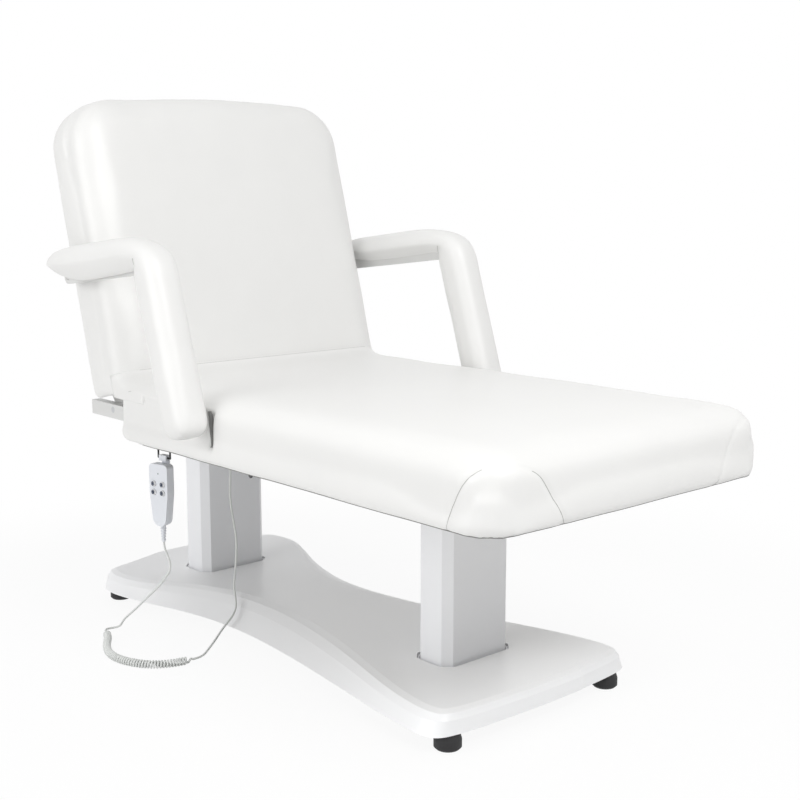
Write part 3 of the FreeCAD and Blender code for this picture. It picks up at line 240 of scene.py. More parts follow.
@dataclass(frozen=True)
class Finish:
    """A surface finish of the table."""

    slot: str
    color: Color
    shade: Color
    roughness: float
    relief: Relief
    scale: float
    depth: float
    metallic: float = 0.0
    coat: float = 0.0
    coat_roughness: float = 0.25
    roughness_spread: float = 0.06
    bump: float = 0.6

    def material(self) -> bpy.types.Material:
        """Gives the material of this finish, made on its first use."""
        name = "finish_" + self.slot
        return bpy.data.materials.get(name) or self.build(name)

    def build(self, name: str) -> bpy.types.Material:
        """Builds the material from the relief's group.

        Args:
            name: name of the material.

        Returns:
            The new material.
        """
        material = bpy.data.materials.new(name)
        material.use_nodes = True
        tree = material.node_tree
        place = node(tree, "ShaderNodeTexCoord")
        surface = node(tree, "ShaderNodeGroup", {"Vector": place.outputs["Object"]}, {"Scale": self.scale},
                       node_tree=SurfaceGroups.get(self.relief))
        tone = surface.outputs["Tone"]
        tint = node(tree, "ShaderNodeMix", {0: tone}, {6: (*self.shade, 1.0), 7: (*self.color, 1.0)},
                    data_type="RGBA")
        gloss = node(tree, "ShaderNodeMapRange", {"Value": tone}, {
            "To Min": self.roughness - self.roughness_spread, "To Max": self.roughness + self.roughness_spread})
        bump = node(tree, "ShaderNodeBump", {"Height": surface.outputs["Height"]},
                    {"Strength": self.bump, "Distance": self.depth})
        feeds = {"Base Color": tint.outputs[2], "Roughness": gloss.outputs["Result"], "Normal": bump.outputs["Normal"]}
        wire(tree, tree.nodes["Principled BSDF"], feeds, {
            "Metallic": self.metallic, "Coat Weight": self.coat, "Coat Roughness": self.coat_roughness})
        return material


VINYL = Finish("vinyl", (0.800, 0.798, 0.786), (0.777, 0.775, 0.763), 0.46, Relief.HIDE, 900.0, 0.00012,
               coat=0.12)
VINYL_SEAM = Finish("vinyl_seam", (0.52, 0.52, 0.505), (0.46, 0.46, 0.445), 0.6, Relief.HIDE, 900.0, 0.0001)
COVER = Finish("cover", (0.945, 0.948, 0.955), (0.925, 0.930, 0.940), 0.34, Relief.MOULD, 700.0, 0.00005, coat=0.15)
COLUMN = Finish("column_paint", (0.886, 0.892, 0.909), (0.864, 0.870, 0.888), 0.38, Relief.PEEL, 420.0, 0.00008)
FRAME = Finish("frame_paint", (0.70, 0.70, 0.69), (0.64, 0.64, 0.63), 0.42, Relief.PEEL, 380.0, 0.0001)
ZINC = Finish("zinc", (0.62, 0.63, 0.64), (0.5, 0.51, 0.52), 0.34, Relief.BRUSHED, 900.0, 0.00006, metallic=1.0)
RUBBER = Finish("rubber", (0.018, 0.018, 0.019), (0.012, 0.012, 0.013), 0.62, Relief.MOULD, 900.0, 0.0001)
PLYWOOD = Finish("plywood", (0.80, 0.77, 0.71), (0.70, 0.66, 0.58), 0.6, Relief.PLY, 160.0, 0.0002)
MOTOR = Finish("motor_black", (0.022, 0.022, 0.024), (0.015, 0.015, 0.016), 0.5, Relief.MOULD, 800.0, 0.0001)
DRIVE = Finish("drive_plastic", (0.032, 0.033, 0.036), (0.024, 0.025, 0.027), 0.46, Relief.MOULD, 800.0, 0.0001)
LINER = Finish("liner_plastic", (0.35, 0.35, 0.36), (0.3, 0.3, 0.31), 0.4, Relief.MOULD, 700.0, 0.00006)
HANDSET = Finish("handset_grey", (0.75, 0.77, 0.81), (0.72, 0.74, 0.78), 0.42, Relief.MOULD, 1100.0, 0.00006)
BUTTON = Finish("button_grey", (0.74, 0.745, 0.755), (0.70, 0.705, 0.715), 0.4, Relief.MOULD, 1100.0, 0.00004)
LENS = Finish("lens", (0.03, 0.09, 0.05), (0.02, 0.07, 0.04), 0.16, Relief.PEEL, 600.0, 0.00002, coat=0.5)
WIRE = Finish("wire_black", (0.02, 0.02, 0.021), (0.014, 0.014, 0.015), 0.4, Relief.PEEL, 900.0, 0.00005)
CORD = Finish("cord_grey", (0.72, 0.735, 0.72), (0.66, 0.675, 0.66), 0.44, Relief.MOULD, 900.0, 0.00008)
CABLE = Finish("cable_black", (0.03, 0.03, 0.033), (0.02, 0.02, 0.022), 0.5, Relief.MOULD, 900.0, 0.00008)
THREAD = Finish("thread", (0.78, 0.775, 0.76), (0.70, 0.695, 0.68), 0.7, Relief.MOULD, 2400.0, 0.00005)
# Dark finish of painted shade: the strips under the seat's lower edge and in the gaps beside the armrest legs.
PAINTED_SHADE = Finish("painted_shade_strip", (0.24, 0.24, 0.235), (0.20, 0.20, 0.195), 0.7, Relief.MOULD, 1200.0, 0.00006)
ICON = Finish("icon_ink", (0.05, 0.07, 0.12), (0.04, 0.055, 0.1), 0.5, Relief.MOULD, 900.0, 0.00003)
CAD_FINISHES = (VINYL, COVER, COLUMN, FRAME, ZINC, RUBBER, PLYWOOD, MOTOR, DRIVE, LINER, HANDSET, BUTTON, LENS,
                WIRE, CORD, CABLE)


# Mesh work

SKIN_CLOTH = {"quality": 5, "mass": 0.35, "tension_stiffness": 40.0, "compression_stiffness": 40.0,
              "shear_stiffness": 20.0, "bending_stiffness": 2.0, "air_damping": 4.0, "use_pressure": True,
              "uniform_pressure_force": 4.0}
SKIN_FRAMES = 20
SUBDIVIDE: Step = ("SUBSURF", {"levels": 1, "render_levels": 1})
SPREAD_ROUNDS = 30
DRAPE_ROUNDS = 6
TINY = 1e-6


class Shop:
    """Mesh work that the pieces share."""

    @staticmethod
    def smooth(mesh: Mesh) -> None:
        """Gives all faces of a mesh smooth shading."""
        mesh.polygons.foreach_set("use_smooth", [True] * len(mesh.polygons))

    @classmethod
    def finish(cls, obj: Object, finish: Finish) -> Object:
        """Gives an object one finish and smooth shading.

        Args:
            obj: the object.
            finish: its finish.

        Returns:
            The same object.
        """
        obj.data.materials.clear()
        obj.data.materials.append(finish.material())
        cls.smooth(obj.data)
        return obj

    @staticmethod
    def baked(obj: Object) -> Mesh:
        """Gives the mesh of an object with its modifiers applied."""
        graph = bpy.context.evaluated_depsgraph_get()
        return bpy.data.meshes.new_from_object(obj.evaluated_get(graph), depsgraph=graph)

    @classmethod
    def modify(cls, obj: Object, *steps: Step) -> Object:
        """Applies modifiers to an object's mesh: new ones, after those that it has.

        Args:
            obj: the object.
            steps: kind and settings of each new modifier.

        Returns:
            The same object.
        """
        for kind, settings in steps:
            modifier = obj.modifiers.new(kind.lower(), kind)
            for name, value in settings.items():
                setattr(modifier, name, value)
        mesh = cls.baked(obj)
        obj.modifiers.clear()
        old = obj.data
        obj.data = mesh
        mesh.name = obj.name
        bpy.data.meshes.remove(old)
        cls.smooth(mesh)
        return obj

    @staticmethod
    def from_rings(name: str, rings: Sequence[Sequence[Point]]) -> Object:
        """Makes a closed form from a stack of rings with as many points each.

        Args:
            name: name of the object.
            rings: the rings, from one end to the other.

        Returns:
            The object, with its faces pointing outwards.
        """
        build = bmesh.new()
        rows = [[build.verts.new(point) for point in ring] for ring in rings]
        count = len(rows[0])
        for low, high in zip(rows, rows[1:]):
            for i in range(count):
                j = (i + 1) % count
                build.faces.new((low[i], low[j], high[j], high[i]))
        build.faces.new(rows[0][::-1])
        build.faces.new(rows[-1])
        bmesh.ops.recalc_face_normals(build, faces=build.faces)
        mesh = bpy.data.meshes.new(name)
        build.to_mesh(mesh)
        build.free()
        return put(name, mesh)

    @staticmethod
    def rows(mesh: Mesh, kind: str = "co") -> np.ndarray:
        """Gives a value of each of a mesh's points.

        Args:
            mesh: the mesh.
            kind: "co" for the places or "normal" for the normals.

        Returns:
            An array with one row for each point.
        """
        flat = np.empty(len(mesh.vertices) * 3)
        mesh.vertices.foreach_get(kind, flat)
        return flat.reshape(-1, 3)

    @staticmethod
    def set_points(mesh: Mesh, rows: np.ndarray) -> None:
        """Writes an array of rows back as a mesh's points."""
        mesh.vertices.foreach_set("co", np.ascontiguousarray(rows).ravel())
        mesh.update()

    @classmethod
    def inflate(cls, obj: Object, pinned: np.ndarray, cap: float) -> None:
        """Swells a padded skin with cloth under pressure, no further than a cap.

        Args:
            obj: padded object.
            pinned: mask of the points that stay.
            cap: furthest that a point may move.
        """
        before = cls.rows(obj.data)
        group = obj.vertex_groups.new(name="held")
        group.add([int(i) for i in np.flatnonzero(pinned)], 1.0, "REPLACE")
        cloth = obj.modifiers.new("skin", "CLOTH")
        for name, value in SKIN_CLOTH.items():
            setattr(cloth.settings, name, value)
        cloth.settings.effector_weights.gravity = 0.0
        cloth.settings.vertex_group_mass = group.name
        cloth.point_cache.frame_start = 1
        cloth.point_cache.frame_end = SKIN_FRAMES
        scene = bpy.context.scene
        for step in range(1, SKIN_FRAMES + 1):
            scene.frame_set(step)
        swollen = cls.baked(obj)
        after = cls.rows(swollen)
        bpy.data.meshes.remove(swollen)
        obj.modifiers.clear()
        obj.vertex_groups.clear()
        scene.frame_set(1)
        move = cls.spread(obj.data, after - before, pinned)
        length = np.linalg.norm(move, axis=1, keepdims=True)
        move *= np.minimum(1.0, cap / np.maximum(length, TINY))
        cls.set_points(obj.data, before + move)

    @staticmethod
    def spread(mesh: Mesh, move: np.ndarray, pinned: np.ndarray) -> np.ndarray:
        """Evens out the moves of a mesh's points, so that the skin stays free of small buckles.

        Args:
            mesh: mesh whose points move.
            move: move of each point.
            pinned: mask of the points that stay.

        Returns:
            The evened moves.
        """
        pairs = np.empty(len(mesh.edges) * 2, dtype=np.int64)
        mesh.edges.foreach_get("vertices", pairs)
        a, b = pairs.reshape(-1, 2).T
        count = np.bincount(pairs, minlength=len(move)).clip(1)[:, None]
        for _ in range(SPREAD_ROUNDS):
            total = np.zeros_like(move)
            np.add.at(total, a, move[b])
            np.add.at(total, b, move[a])
            move = (move + total / count) / 2
            move[pinned] = 0
        return move

    @classmethod
    def dent(cls, obj: Object, paths: Iterable[Sequence[Vector]], depth: float, width: float) -> None:
        """Draws a surface in along its seams.

        Args:
            obj: object with the surface.
            paths: the seams.
            depth: how far it is drawn in.
            width: how far the dent spreads.
        """
        line = [point for path in paths for point in path]
        tree = KDTree(len(line))
        for i, point in enumerate(line):
            tree.insert(point, i)
        tree.balance()
        rows = cls.rows(obj.data)
        near = np.array([tree.find(row)[2] for row in rows])
        inward = depth * np.exp(-(near / width) ** 2)
        cls.set_points(obj.data, rows - cls.rows(obj.data, "normal") * inward[:, None])

    @classmethod
    def ripple(cls, obj: Object, size: float, depth: float) -> None:
        """Moves a surface in and out a little, as hand-drawn upholstery is.

        Args:
            obj: object with the surface.
            size: size of the unevenness.
            depth: its depth.
        """
        rows = cls.rows(obj.data)
        wave = np.array([noise.noise(Vector(row) / size) for row in rows])
        cls.set_points(obj.data, rows + cls.rows(obj.data, "normal") * (depth * wave)[:, None])

    @staticmethod
    def round_edge(rows: np.ndarray, centre: tuple[float, float], way: tuple[int, int], radius: float) -> None:
        """Rounds an edge that runs along Y.

        Args:
            rows: points, which are changed.
            centre: centre of the rounding in X and Z.
            way: signs of the directions in X and Z in which the edge lies.
            radius: radius of the rounding.
        """
        dx, dz = (rows[:, 0] - centre[0]) * way[0], (rows[:, 2] - centre[1]) * way[1]
        reach = np.hypot(dx, dz)
        outside = (dx > 0) & (dz > 0) & (reach > radius)
        ratio = np.where(outside, radius / np.maximum(reach, TINY), 1.0)
        rows[:, 0] = np.where(outside, centre[0] + way[0] * dx * ratio, rows[:, 0])
        rows[:, 2] = np.where(outside, centre[1] + way[1] * dz * ratio, rows[:, 2])

    @staticmethod
    def surface(obj: Object) -> BVHTree:
        """Gives a search tree of an object's surface."""
        corners = [vertex.co.copy() for vertex in obj.data.vertices]
        return BVHTree.FromPolygons(corners, [list(face.vertices) for face in obj.data.polygons])

    @staticmethod
    def drape(tree: BVHTree, points: Sequence[Point], side: int, steps: int = 8) -> list[Vector]:
        """Lays a smooth line through points onto a surface.

        Args:
            tree: search tree of the surface.
            points: points that the line goes through on the right side.
            side: 1 for the points as they are, -1 for their mirror image.
            steps: steps between two points.

        Returns:
            The line on the surface.
        """
        path = smooth_path([Vector((x, y * side, z)) for x, y, z in points], steps)
        line = [tree.find_nearest(point)[0] for point in path]
        for _ in range(DRAPE_ROUNDS):
            line[1:-1] = [(a + b * 2 + c) / 4 for a, b, c in zip(line, line[1:], line[2:])]
        return [tree.find_nearest(point)[0] for point in line]


class Repeat(Enum):
    """What is made along a path."""

    THREAD = "seam line"
    STITCH = "stitches"
    SCREW = "screws"


class NodeTrees:
    """Geometry Nodes trees for what repeats or follows a path."""

    @staticmethod
    def bead(tree: Tree, source: Node, stretch: float, segments: int, rings: int) -> Socket:
        """Adds a sphere that is stretched or flattened along Z.

        Args:
            tree: tree that gets the nodes.
            source: its input node.
            stretch: height as a share of its width.
            segments: segments around.
            rings: rings from pole to pole.

        Returns:
            The sphere.
        """
        ball = node(tree, "GeometryNodeMeshUVSphere", {"Radius": source.outputs["Radius"]},
                    {"Segments": segments, "Rings": rings})
        feeds = {"Geometry": ball.outputs[0]}
        return node(tree, "GeometryNodeTransform", feeds, {"Scale": (1.0, 1.0, stretch)}).outputs[0]

    @classmethod
    def shape(cls, kind: Repeat, tree: Tree, source: Node, path: Socket) -> Socket:
        """Adds the nodes of what is made along a path.

        Args:
            kind: what is made.
            tree: tree that gets the nodes.
            source: its input node.
            path: the evenly stepped path.

        Returns:
            The shape.
        """
        if kind is Repeat.THREAD:
            circle = node(tree, "GeometryNodeCurvePrimitiveCircle", {"Radius": source.outputs["Radius"]},
                          {"Resolution": 6})
            feeds = {"Curve": path, "Profile Curve": circle.outputs[0]}
            return node(tree, "GeometryNodeCurveToMesh", feeds, {"Fill Caps": True}).outputs[0]
        if kind is Repeat.STITCH:
            tangent = node(tree, "GeometryNodeInputTangent")
            align = node(tree, "FunctionNodeAlignRotationToVector", {"Vector": tangent.outputs[0]})
            piece, turn = cls.bead(tree, source, 3.4, 6, 5), align.outputs[0]
        else:
            head = cls.bead(tree, source, 0.45, 16, 8)
            cross = node(tree, "GeometryNodeMeshBoolean", {0: head}, operation="DIFFERENCE")
            for size in ((0.0046, 0.0009, 0.0018), (0.0009, 0.0046, 0.0018)):
                slot = node(tree, "GeometryNodeMeshCube", values={"Size": size})
                raised = node(tree, "GeometryNodeTransform", {"Geometry": slot.outputs[0]},
                              {"Translation": (0.0, 0.0, 0.0019)})
                wire(tree, cross, {1: raised.outputs[0]})
            piece, turn = cross.outputs[0], source.outputs["Rotation"]
        feeds = {"Points": path, "Instance": piece, "Rotation": turn}
        return node(tree, "GeometryNodeInstanceOnPoints", feeds).outputs[0]

    @classmethod
    def get(cls, kind: Repeat) -> Tree:
        """Gives the tree that makes something along paths, made on its first use.

        Args:
            kind: what is made.

        Returns:
            The tree.
        """
        made = bpy.data.node_groups.get(kind.value)
        if made:
            return made
        inputs = {"Geometry": "Geometry", "Radius": "Float", "Pitch": "Float", "Rotation": "Vector",
                  "Material": "Material"}
        tree, source, sink = new_tree(kind.value, "GeometryNodeTree", inputs, {"Geometry": "Geometry"})
        line = node(tree, "GeometryNodeMeshToCurve", {0: source.outputs["Geometry"]})
        feeds = {"Curve": line.outputs[0], "Length": source.outputs["Pitch"]}
        path = node(tree, "GeometryNodeResampleCurve", feeds, mode="LENGTH")
        real = node(tree, "GeometryNodeRealizeInstances", {0: cls.shape(kind, tree, source, path.outputs[0])})
        smooth = node(tree, "GeometryNodeSetShadeSmooth", {"Geometry": real.outputs[0]})
        feeds = {"Geometry": smooth.outputs[0], "Material": source.outputs["Material"]}
        wire(tree, sink, {0: node(tree, "GeometryNodeSetMaterial", feeds).outputs[0]})
        return tree

    @classmethod
    def lay(cls, name: str, paths: Iterable[Sequence[Vector]], kind: Repeat, finish: Finish,
            **sizes: object) -> Object:
        """Makes an object along some paths.

        Args:
            name: name of the object.
            paths: the paths.
            kind: what is made along them.
            finish: its finish.
            sizes: values of the tree's inputs.

        Returns:
            The object, as a plain mesh.
        """
        points: list[Vector] = []
        edges: list[tuple[int, int]] = []
        for path in paths:
            start = len(points)
            points += list(path)
            edges += [(start + i, start + i + 1) for i in range(len(path) - 1)]
        mesh = bpy.data.meshes.new(name)
        mesh.from_pydata(points, edges, [])
        obj = put(name, mesh)
        modifier = obj.modifiers.new("repeat", "NODES")
        modifier.node_group = cls.get(kind)
        values = {**sizes, "Material": finish.material()}
        for item in modifier.node_group.interface.items_tree:
            if item.in_out == "INPUT" and item.name in values:
                modifier[item.identifier] = values[item.name]
        return Shop.modify(obj)


# Soft goods


def rounded_plan(low: Sequence[float], high: Sequence[float], corners: Sequence[float], inset: float,
                 step: float = 0.012, arc: int = 12) -> Outline:
    """Gives the outline of a rectangle with rounded corners, drawn in by an inset.

    Args:
        low: lowest corner.
        high: highest corner.
        corners: corner radii, anticlockwise from the lowest corner.
        inset: distance that the outline is drawn in.
        step: spacing of the points on the straight sides.
        arc: points of each corner.

    Returns:
        The outline's points, anticlockwise.
    """
    sharpest = 0.002
    middles = ((low[0], low[1], 1, 1), (high[0], low[1], -1, 1), (high[0], high[1], -1, -1), (low[0], high[1], 1, -1))
    arcs: list[Outline] = []
    for turn, ((x, y, sx, sy), radius) in enumerate(zip(middles, corners)):
        small = max(radius - inset, sharpest)
        reach = inset + small
        start = math.pi + turn * math.pi / 2
        angles = [start + math.pi / 2 * i / arc for i in range(arc + 1)]
        arcs.append([(x + sx * reach + small * math.cos(a), y + sy * reach + small * math.sin(a)) for a in angles])
    count = max(int(math.dist(middles[0][:2], middles[2][:2]) / step / 4), 2)
    outline: Outline = []
    for arc_points, after in zip(arcs, arcs[1:] + arcs[:1]):
        outline += arc_points
        (x0, y0), (x1, y1) = arc_points[-1], after[0]
        outline += [(x0 + (x1 - x0) * i / count, y0 + (y1 - y0) * i / count) for i in range(1, count)]
    return outline


def edge_profile(low: float, high: float, low_radius: float, high_radius: float, lip: float,
                 arc: int = 8) -> list[tuple[float, float]]:
    """Gives the heights and insets up the side of a padded form with rounded edges.

    Args:
        low: lower face.
        high: upper face.
        low_radius: radius of the lower edge.
        high_radius: radius of the upper edge.
        lip: how far the first and last rings reach in beyond the edge.
        arc: steps of each edge.

    Returns:
        Pairs of height and inset.
    """
    quarter = [math.pi / 2 * i / arc for i in range(arc + 1)]
    levels = [(low, low_radius + lip)]
    levels += [(low + low_radius * (1 - math.cos(a)), low_radius * (1 - math.sin(a))) for a in quarter]
    levels += [(high - high_radius * (1 - math.sin(a)), high_radius * (1 - math.cos(a))) for a in quarter]
    return levels + [(high, high_radius + lip)]


def smooth_step(value: np.ndarray, start: float, end: float) -> np.ndarray:
    """Rises smoothly from 0 at start to 1 at end."""
    t = np.clip((value - start) / (end - start), 0.0, 1.0)
    return t * t * (3.0 - 2.0 * t)


def smooth_path(points: Sequence[Row], steps: int) -> list[Row]:
    """Gives a smooth path through points.

    Args:
        points: points that the path goes through.
        steps: steps between two points.

    Returns:
        The path's points.
    """
    ends = [points[0] * 2 - points[1], *points, points[-1] * 2 - points[-2]]
    path: list[Row] = []
    for a, b, c, d in zip(ends, ends[1:], ends[2:], ends[3:]):
        for i in range(steps):
            t = i / steps
            path.append(0.5 * (2 * b + (c - a) * t + (2 * a - 5 * b + 4 * c - d) * t ** 2
                               + (3 * b - a - 3 * c + d) * t ** 3))
    return path + [points[-1]]


def run_lengths(line: np.ndarray) -> np.ndarray:
    """Gives how far along a line each of its points lies."""
    runs = np.linalg.norm(np.diff(line, axis=0), axis=1)
    return np.concatenate(([0.0], np.cumsum(runs)))


@dataclass
class CushionForm:
    """A block cushion that is drawn over a board: its sizes in its own flat place."""

    name: str
    low: Point
    high: Point
    corners: tuple[float, float, float, float]
    top_edge: float
    low_edge: float
    lip: float
    voxel: float
    crown: float = 0.004
    cap: float = 0.006
    skirt: float = 0.0
    ceiling: float = 0.0
    smoothing: int = 4

    def levels(self) -> list[tuple[float, float]]:
        """Gives the heights and insets of the rings, from the hollow underside to the top.

        Returns:
            Pairs of height and inset.
        """
        levels = edge_profile(self.low[2], self.high[2], self.low_edge, self.top_edge, self.lip)
        if not self.skirt:
            return levels
        hollow = [(self.ceiling, self.skirt + 2 * self.lip), (self.ceiling, self.skirt),
                  (self.low[2] + self.low_edge / 2, self.skirt), (self.low[2], self.skirt - self.low_edge / 2)]
        return hollow + levels[1:]

    def inside(self, point: Vector) -> float:
        """Gives how far a point lies inside the cushion's outline, its corners rounded.

        Args:
            point: the point.

        Returns:
            The distance to the outline.
        """
        dx = min(point.x - self.low[0], self.high[0] - point.x)
        dy = min(point.y - self.low[1], self.high[1] - point.y)
        ends = self.corners[0::3] if 2 * point.x < self.low[0] + self.high[0] else self.corners[1:3]
        radius = ends[0] if 2 * point.y < self.low[1] + self.high[1] else ends[1]
        if dx < radius and dy < radius:
            return radius - math.hypot(radius - dx, radius - dy)
        return min(dx, dy)

    def skin(self) -> Object:
        """Makes the even, swollen skin of the cushion in its flat place, open where its board hides it.

        Returns:
            The skin.
        """
        rings = [[(x, y, z) for x, y in rounded_plan(self.low, self.high, self.corners, inset)]
                 for z, inset in self.levels()]
        obj = Shop.modify(Shop.from_rings(self.name, rings),
                          ("REMESH", {"mode": "VOXEL", "voxel_size": self.voxel}),
                          ("SMOOTH", {"factor": 0.5, "iterations": self.smoothing}))
        level = self.ceiling if self.skirt else self.low[2]
        rim = self.lip + (self.skirt or self.low_edge)
        build = bmesh.new()
        build.from_mesh(obj.data)
        middles = {face: face.calc_center_median() for face in build.faces}
        hidden = [face for face, middle in middles.items()
                  if abs(middle.z - level) < self.voxel * 0.7 and self.inside(middle) > rim]
        bmesh.ops.delete(build, geom=hidden, context="FACES")
        build.to_mesh(obj.data)
        build.free()
        self.swell(obj)
        return Shop.modify(obj, SUBDIVIDE)

    def swell(self, obj: Object) -> None:
        """Crowns the top and swells the skin over its foam.

        Args:
            obj: skin of the cushion.
        """
        rows = Shop.rows(obj.data)
        x, y, z = rows.T
        u = (2 * x - self.low[0] - self.high[0]) / (self.high[0] - self.low[0])
        v = (2 * y - self.low[1] - self.high[1]) / (self.high[1] - self.low[1])
        middle = (self.low[2] + self.high[2]) / 2
        share = smooth_step(z, middle, self.high[2])
        rows[:, 2] -= self.crown * share * (1 - np.clip(1 - u ** 4, 0, 1) * np.clip(1 - v ** 4, 0, 1))
        Shop.set_points(obj.data, rows)
        inside = np.minimum.reduce([x - self.low[0], self.high[0] - x, y - self.low[1], self.high[1] - y])
        held = (z < self.low[2] + self.low_edge * 0.8) | ((inside > self.skirt * 0.6) & (z < middle))
        Shop.inflate(obj, held, self.cap)


@dataclass
class SeatCushion:
    """Upholstered seat with sewn panels at its foot corners and hollows for the armrests."""

    foot_corner: float = 0.080
    rear_corner: float = 0.006
    top_edge: float = 0.043
    low_edge: float = 0.008
    rear_round: float = 0.052
    loft: float = 0.002
    skirt: float = 0.021
    ceiling: float = 0.524
    hollow_floor: float = 0.484
    hollow_depth: float = 0.0068
    pocket: tuple[float, float] = (-0.036, -0.014)
    pocket_depth: float = 0.017
    shoulder: tuple[float, float] = (-0.090, -0.030)
    shoulder_drop: float = 0.003
    rear_swell: float = 0.004
    sag: float = 0.005
    fold: float = 0.0040
    folds: int = 9
    seam_dent: tuple[float, float] = (0.0016, 0.005)
    ripple: tuple[float, float] = (0.11, 0.0012)
    panel: tuple[Point, ...] = (
        (0.6325, -0.375, 0.454), (0.6346, -0.375, 0.467), (0.6381, -0.375, 0.4805), (0.6472, -0.375, 0.501),
        (0.657, -0.374, 0.519), (0.669, -0.371, 0.538), (0.682, -0.364, 0.555), (0.697, -0.350, 0.568),
        (0.711, -0.326, 0.571), (0.721, -0.300, 0.565), (0.728, -0.279, 0.556), (0.732, -0.2635, 0.545),
        (0.733, -0.2527, 0.531), (0.733, -0.2387, 0.511), (0.733, -0.2257, 0.491), (0.733, -0.2157, 0.4735),
        (0.733, -0.2088, 0.460), (0.733, -0.2049, 0.453))
    tuck: tuple[Point, ...] = (
        (-0.336, -0.366, 0.567), (-0.350, -0.367, 0.561), (-0.364, -0.367, 0.553), (-0.372, -0.366, 0.545))
    # Path of a dark strip of painted shade in the gap between each armrest leg and the seat.
    gap: tuple[Point, ...] = (
        (-0.036, -0.360, 0.556), (-0.034, -0.360, 0.530), (-0.031, -0.360, 0.505), (-0.028, -0.361, 0.484))

    def build(self) -> Object:
        """Builds the cushion and its seams.

        Returns:
            The cushion.
        """
        low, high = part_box("seat_cushion")
        high = (high[0], high[1], high[2] + self.loft)
        corners = (self.rear_corner, self.foot_corner, self.foot_corner, self.rear_corner)
        form = CushionForm("seat_upholstery", tuple(low), high, corners, self.top_edge, self.low_edge, lip=0.014,
                           voxel=0.009, skirt=self.skirt, ceiling=self.ceiling)
        obj = form.skin()
        self.shape(obj, form)
        Shop.dent(obj, self.both_sides(obj, self.panel), *self.seam_dent)
        Shop.ripple(obj, *self.ripple)
        Shop.finish(obj, VINYL)
        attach(obj, "lift")
        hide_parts("seat_cushion")
        self.trim(obj, form)
        return obj

    def shape(self, obj: Object, form: CushionForm) -> None:
        """Rounds the rear lower edge, hollows the sides for the armrests and gathers the foot corners.

        Args:
            obj: the cushion.
            form: its flat form.
        """
        low, high = form.low, form.high
        rows = Shop.rows(obj.data)
        Shop.round_edge(rows, (low[0] + self.rear_round, low[2] + self.rear_round), (-1, -1), self.rear_round)
        x, y, z = rows.T.copy()
        side, across = np.abs(y), np.sign(y)
        start, end = self.pocket
        rear = 1 - smooth_step(x, end - 0.020, end)
        pocket = smooth_step(x, start - 0.010, start + 0.006) * (1 - smooth_step(x, end - 0.010, end + 0.001))
        up = smooth_step(z, self.hollow_floor - 0.008, self.hollow_floor + 0.010)
        up *= 1 - smooth_step(z, high[2] - 0.034, high[2] - 0.018)
        outer = smooth_step(side, high[1] - 0.050, high[1] - 0.006)
        shoulder = (1 - smooth_step(x, *self.shoulder)) * smooth_step(side, high[1] - 0.10, high[1] - 0.01)
        top = smooth_step(z, high[2] - 0.05, high[2] - 0.01)
        depth = np.maximum(self.hollow_depth * rear, self.pocket_depth * pocket * (1 - top))
        rows[:, 1] = y - across * depth * up * outer
        rows[:, 2] = z - self.shoulder_drop * shoulder * top
        rows[:, 0] = x - self.rear_swell * (1 + 2.5 * up * outer) * (1 - smooth_step(x, low[0], low[0] + 0.06))
        self.gather(rows, form)
        Shop.set_points(obj.data, rows)

    def gather(self, rows: np.ndarray, form: CushionForm) -> None:
        """Lets the foot corners sag a little and gathers their lower edge in folds.

        Args:
            rows: points of the cushion.
            form: its flat form.
        """
        low, high = form.low, form.high
        for side in (1, -1):
            dx = rows[:, 0] - (high[0] - self.foot_corner)
            dy = rows[:, 1] * side - (high[1] - self.foot_corner)
            reach = np.hypot(dx, dy)
            angle = np.arctan2(dy, dx)
            bend = np.sin(np.clip(angle, 0, math.pi / 2) * 2)
            edge = (1 - smooth_step(rows[:, 2], low[2] + 0.002, low[2] + 0.018)) * smooth_step(reach, 0.055, 0.072)
            wave = np.abs(np.sin(angle * self.folds)) ** 0.6 * np.sin(angle * 3.1 + side)
            near = edge * bend
            draw = self.fold * near * (0.5 + 0.5 * wave)
            rows[:, 0] -= draw * np.cos(angle)
            rows[:, 1] -= draw * np.sin(angle) * side
            rows[:, 2] -= near * (self.sag + 0.4 * self.fold * wave)

    @staticmethod
    def both_sides(obj: Object, points: Sequence[Point]) -> list[list[Vector]]:
        """Lays a line and its mirror image onto the cushion."""
        tree = Shop.surface(obj)
        return [Shop.drape(tree, points, side) for side in (1, -1)]

    def trim(self, obj: Object, form: CushionForm) -> None:
        """Lays the seams of the panels and tucks, and dark strips of painted shade along the lower edge and in the
        gaps beside the armrests.

        Args:
            obj: the cushion.
            form: its flat form.
        """
        near, far = self.both_sides(obj, self.panel)
        count = len(near)
        paths = [near[:count * 2 // 5], near[count * 3 // 5:], far[-count // 12:], *self.both_sides(obj, self.tuck)]
        Trim.lay("seat_panel_seams", paths, 0.0006, 0.004, VINYL_SEAM, "lift", "vinyl")
        # Dark strip as painted shade where the seat's lower edge turns under, standing in for the shade of the
        # downward-facing edge.
        outline = rounded_plan(form.low, form.high, form.corners, self.low_edge)
        edge = [Vector((x, y, form.low[2] - 0.05)) for x, y in outline if x > form.low[0] + self.rear_round]
        turn = max(range(len(edge)), key=lambda i: (edge[i] - edge[i - 1]).length)
        tree = Shop.surface(obj)
        hits = [tree.ray_cast(point, Vector((0, 0, 1)))[0] for point in edge[turn:] + edge[:turn]]
        line = [hit - Vector((0, 0, 0.0002)) for hit in hits if hit]
        Trim.lay("seat_edge_painted_shade", [line], 0.0012, 0.006, PAINTED_SHADE, "lift", "rubber")
        # Dark strip as painted shade in the gap between each armrest leg and the seat, where the deep pocket lies in
        # shadow.
        Trim.lay("arm_gap_painted_shade", self.both_sides(obj, self.gap), 0.0046, 0.006, PAINTED_SHADE, "lift", "rubber")


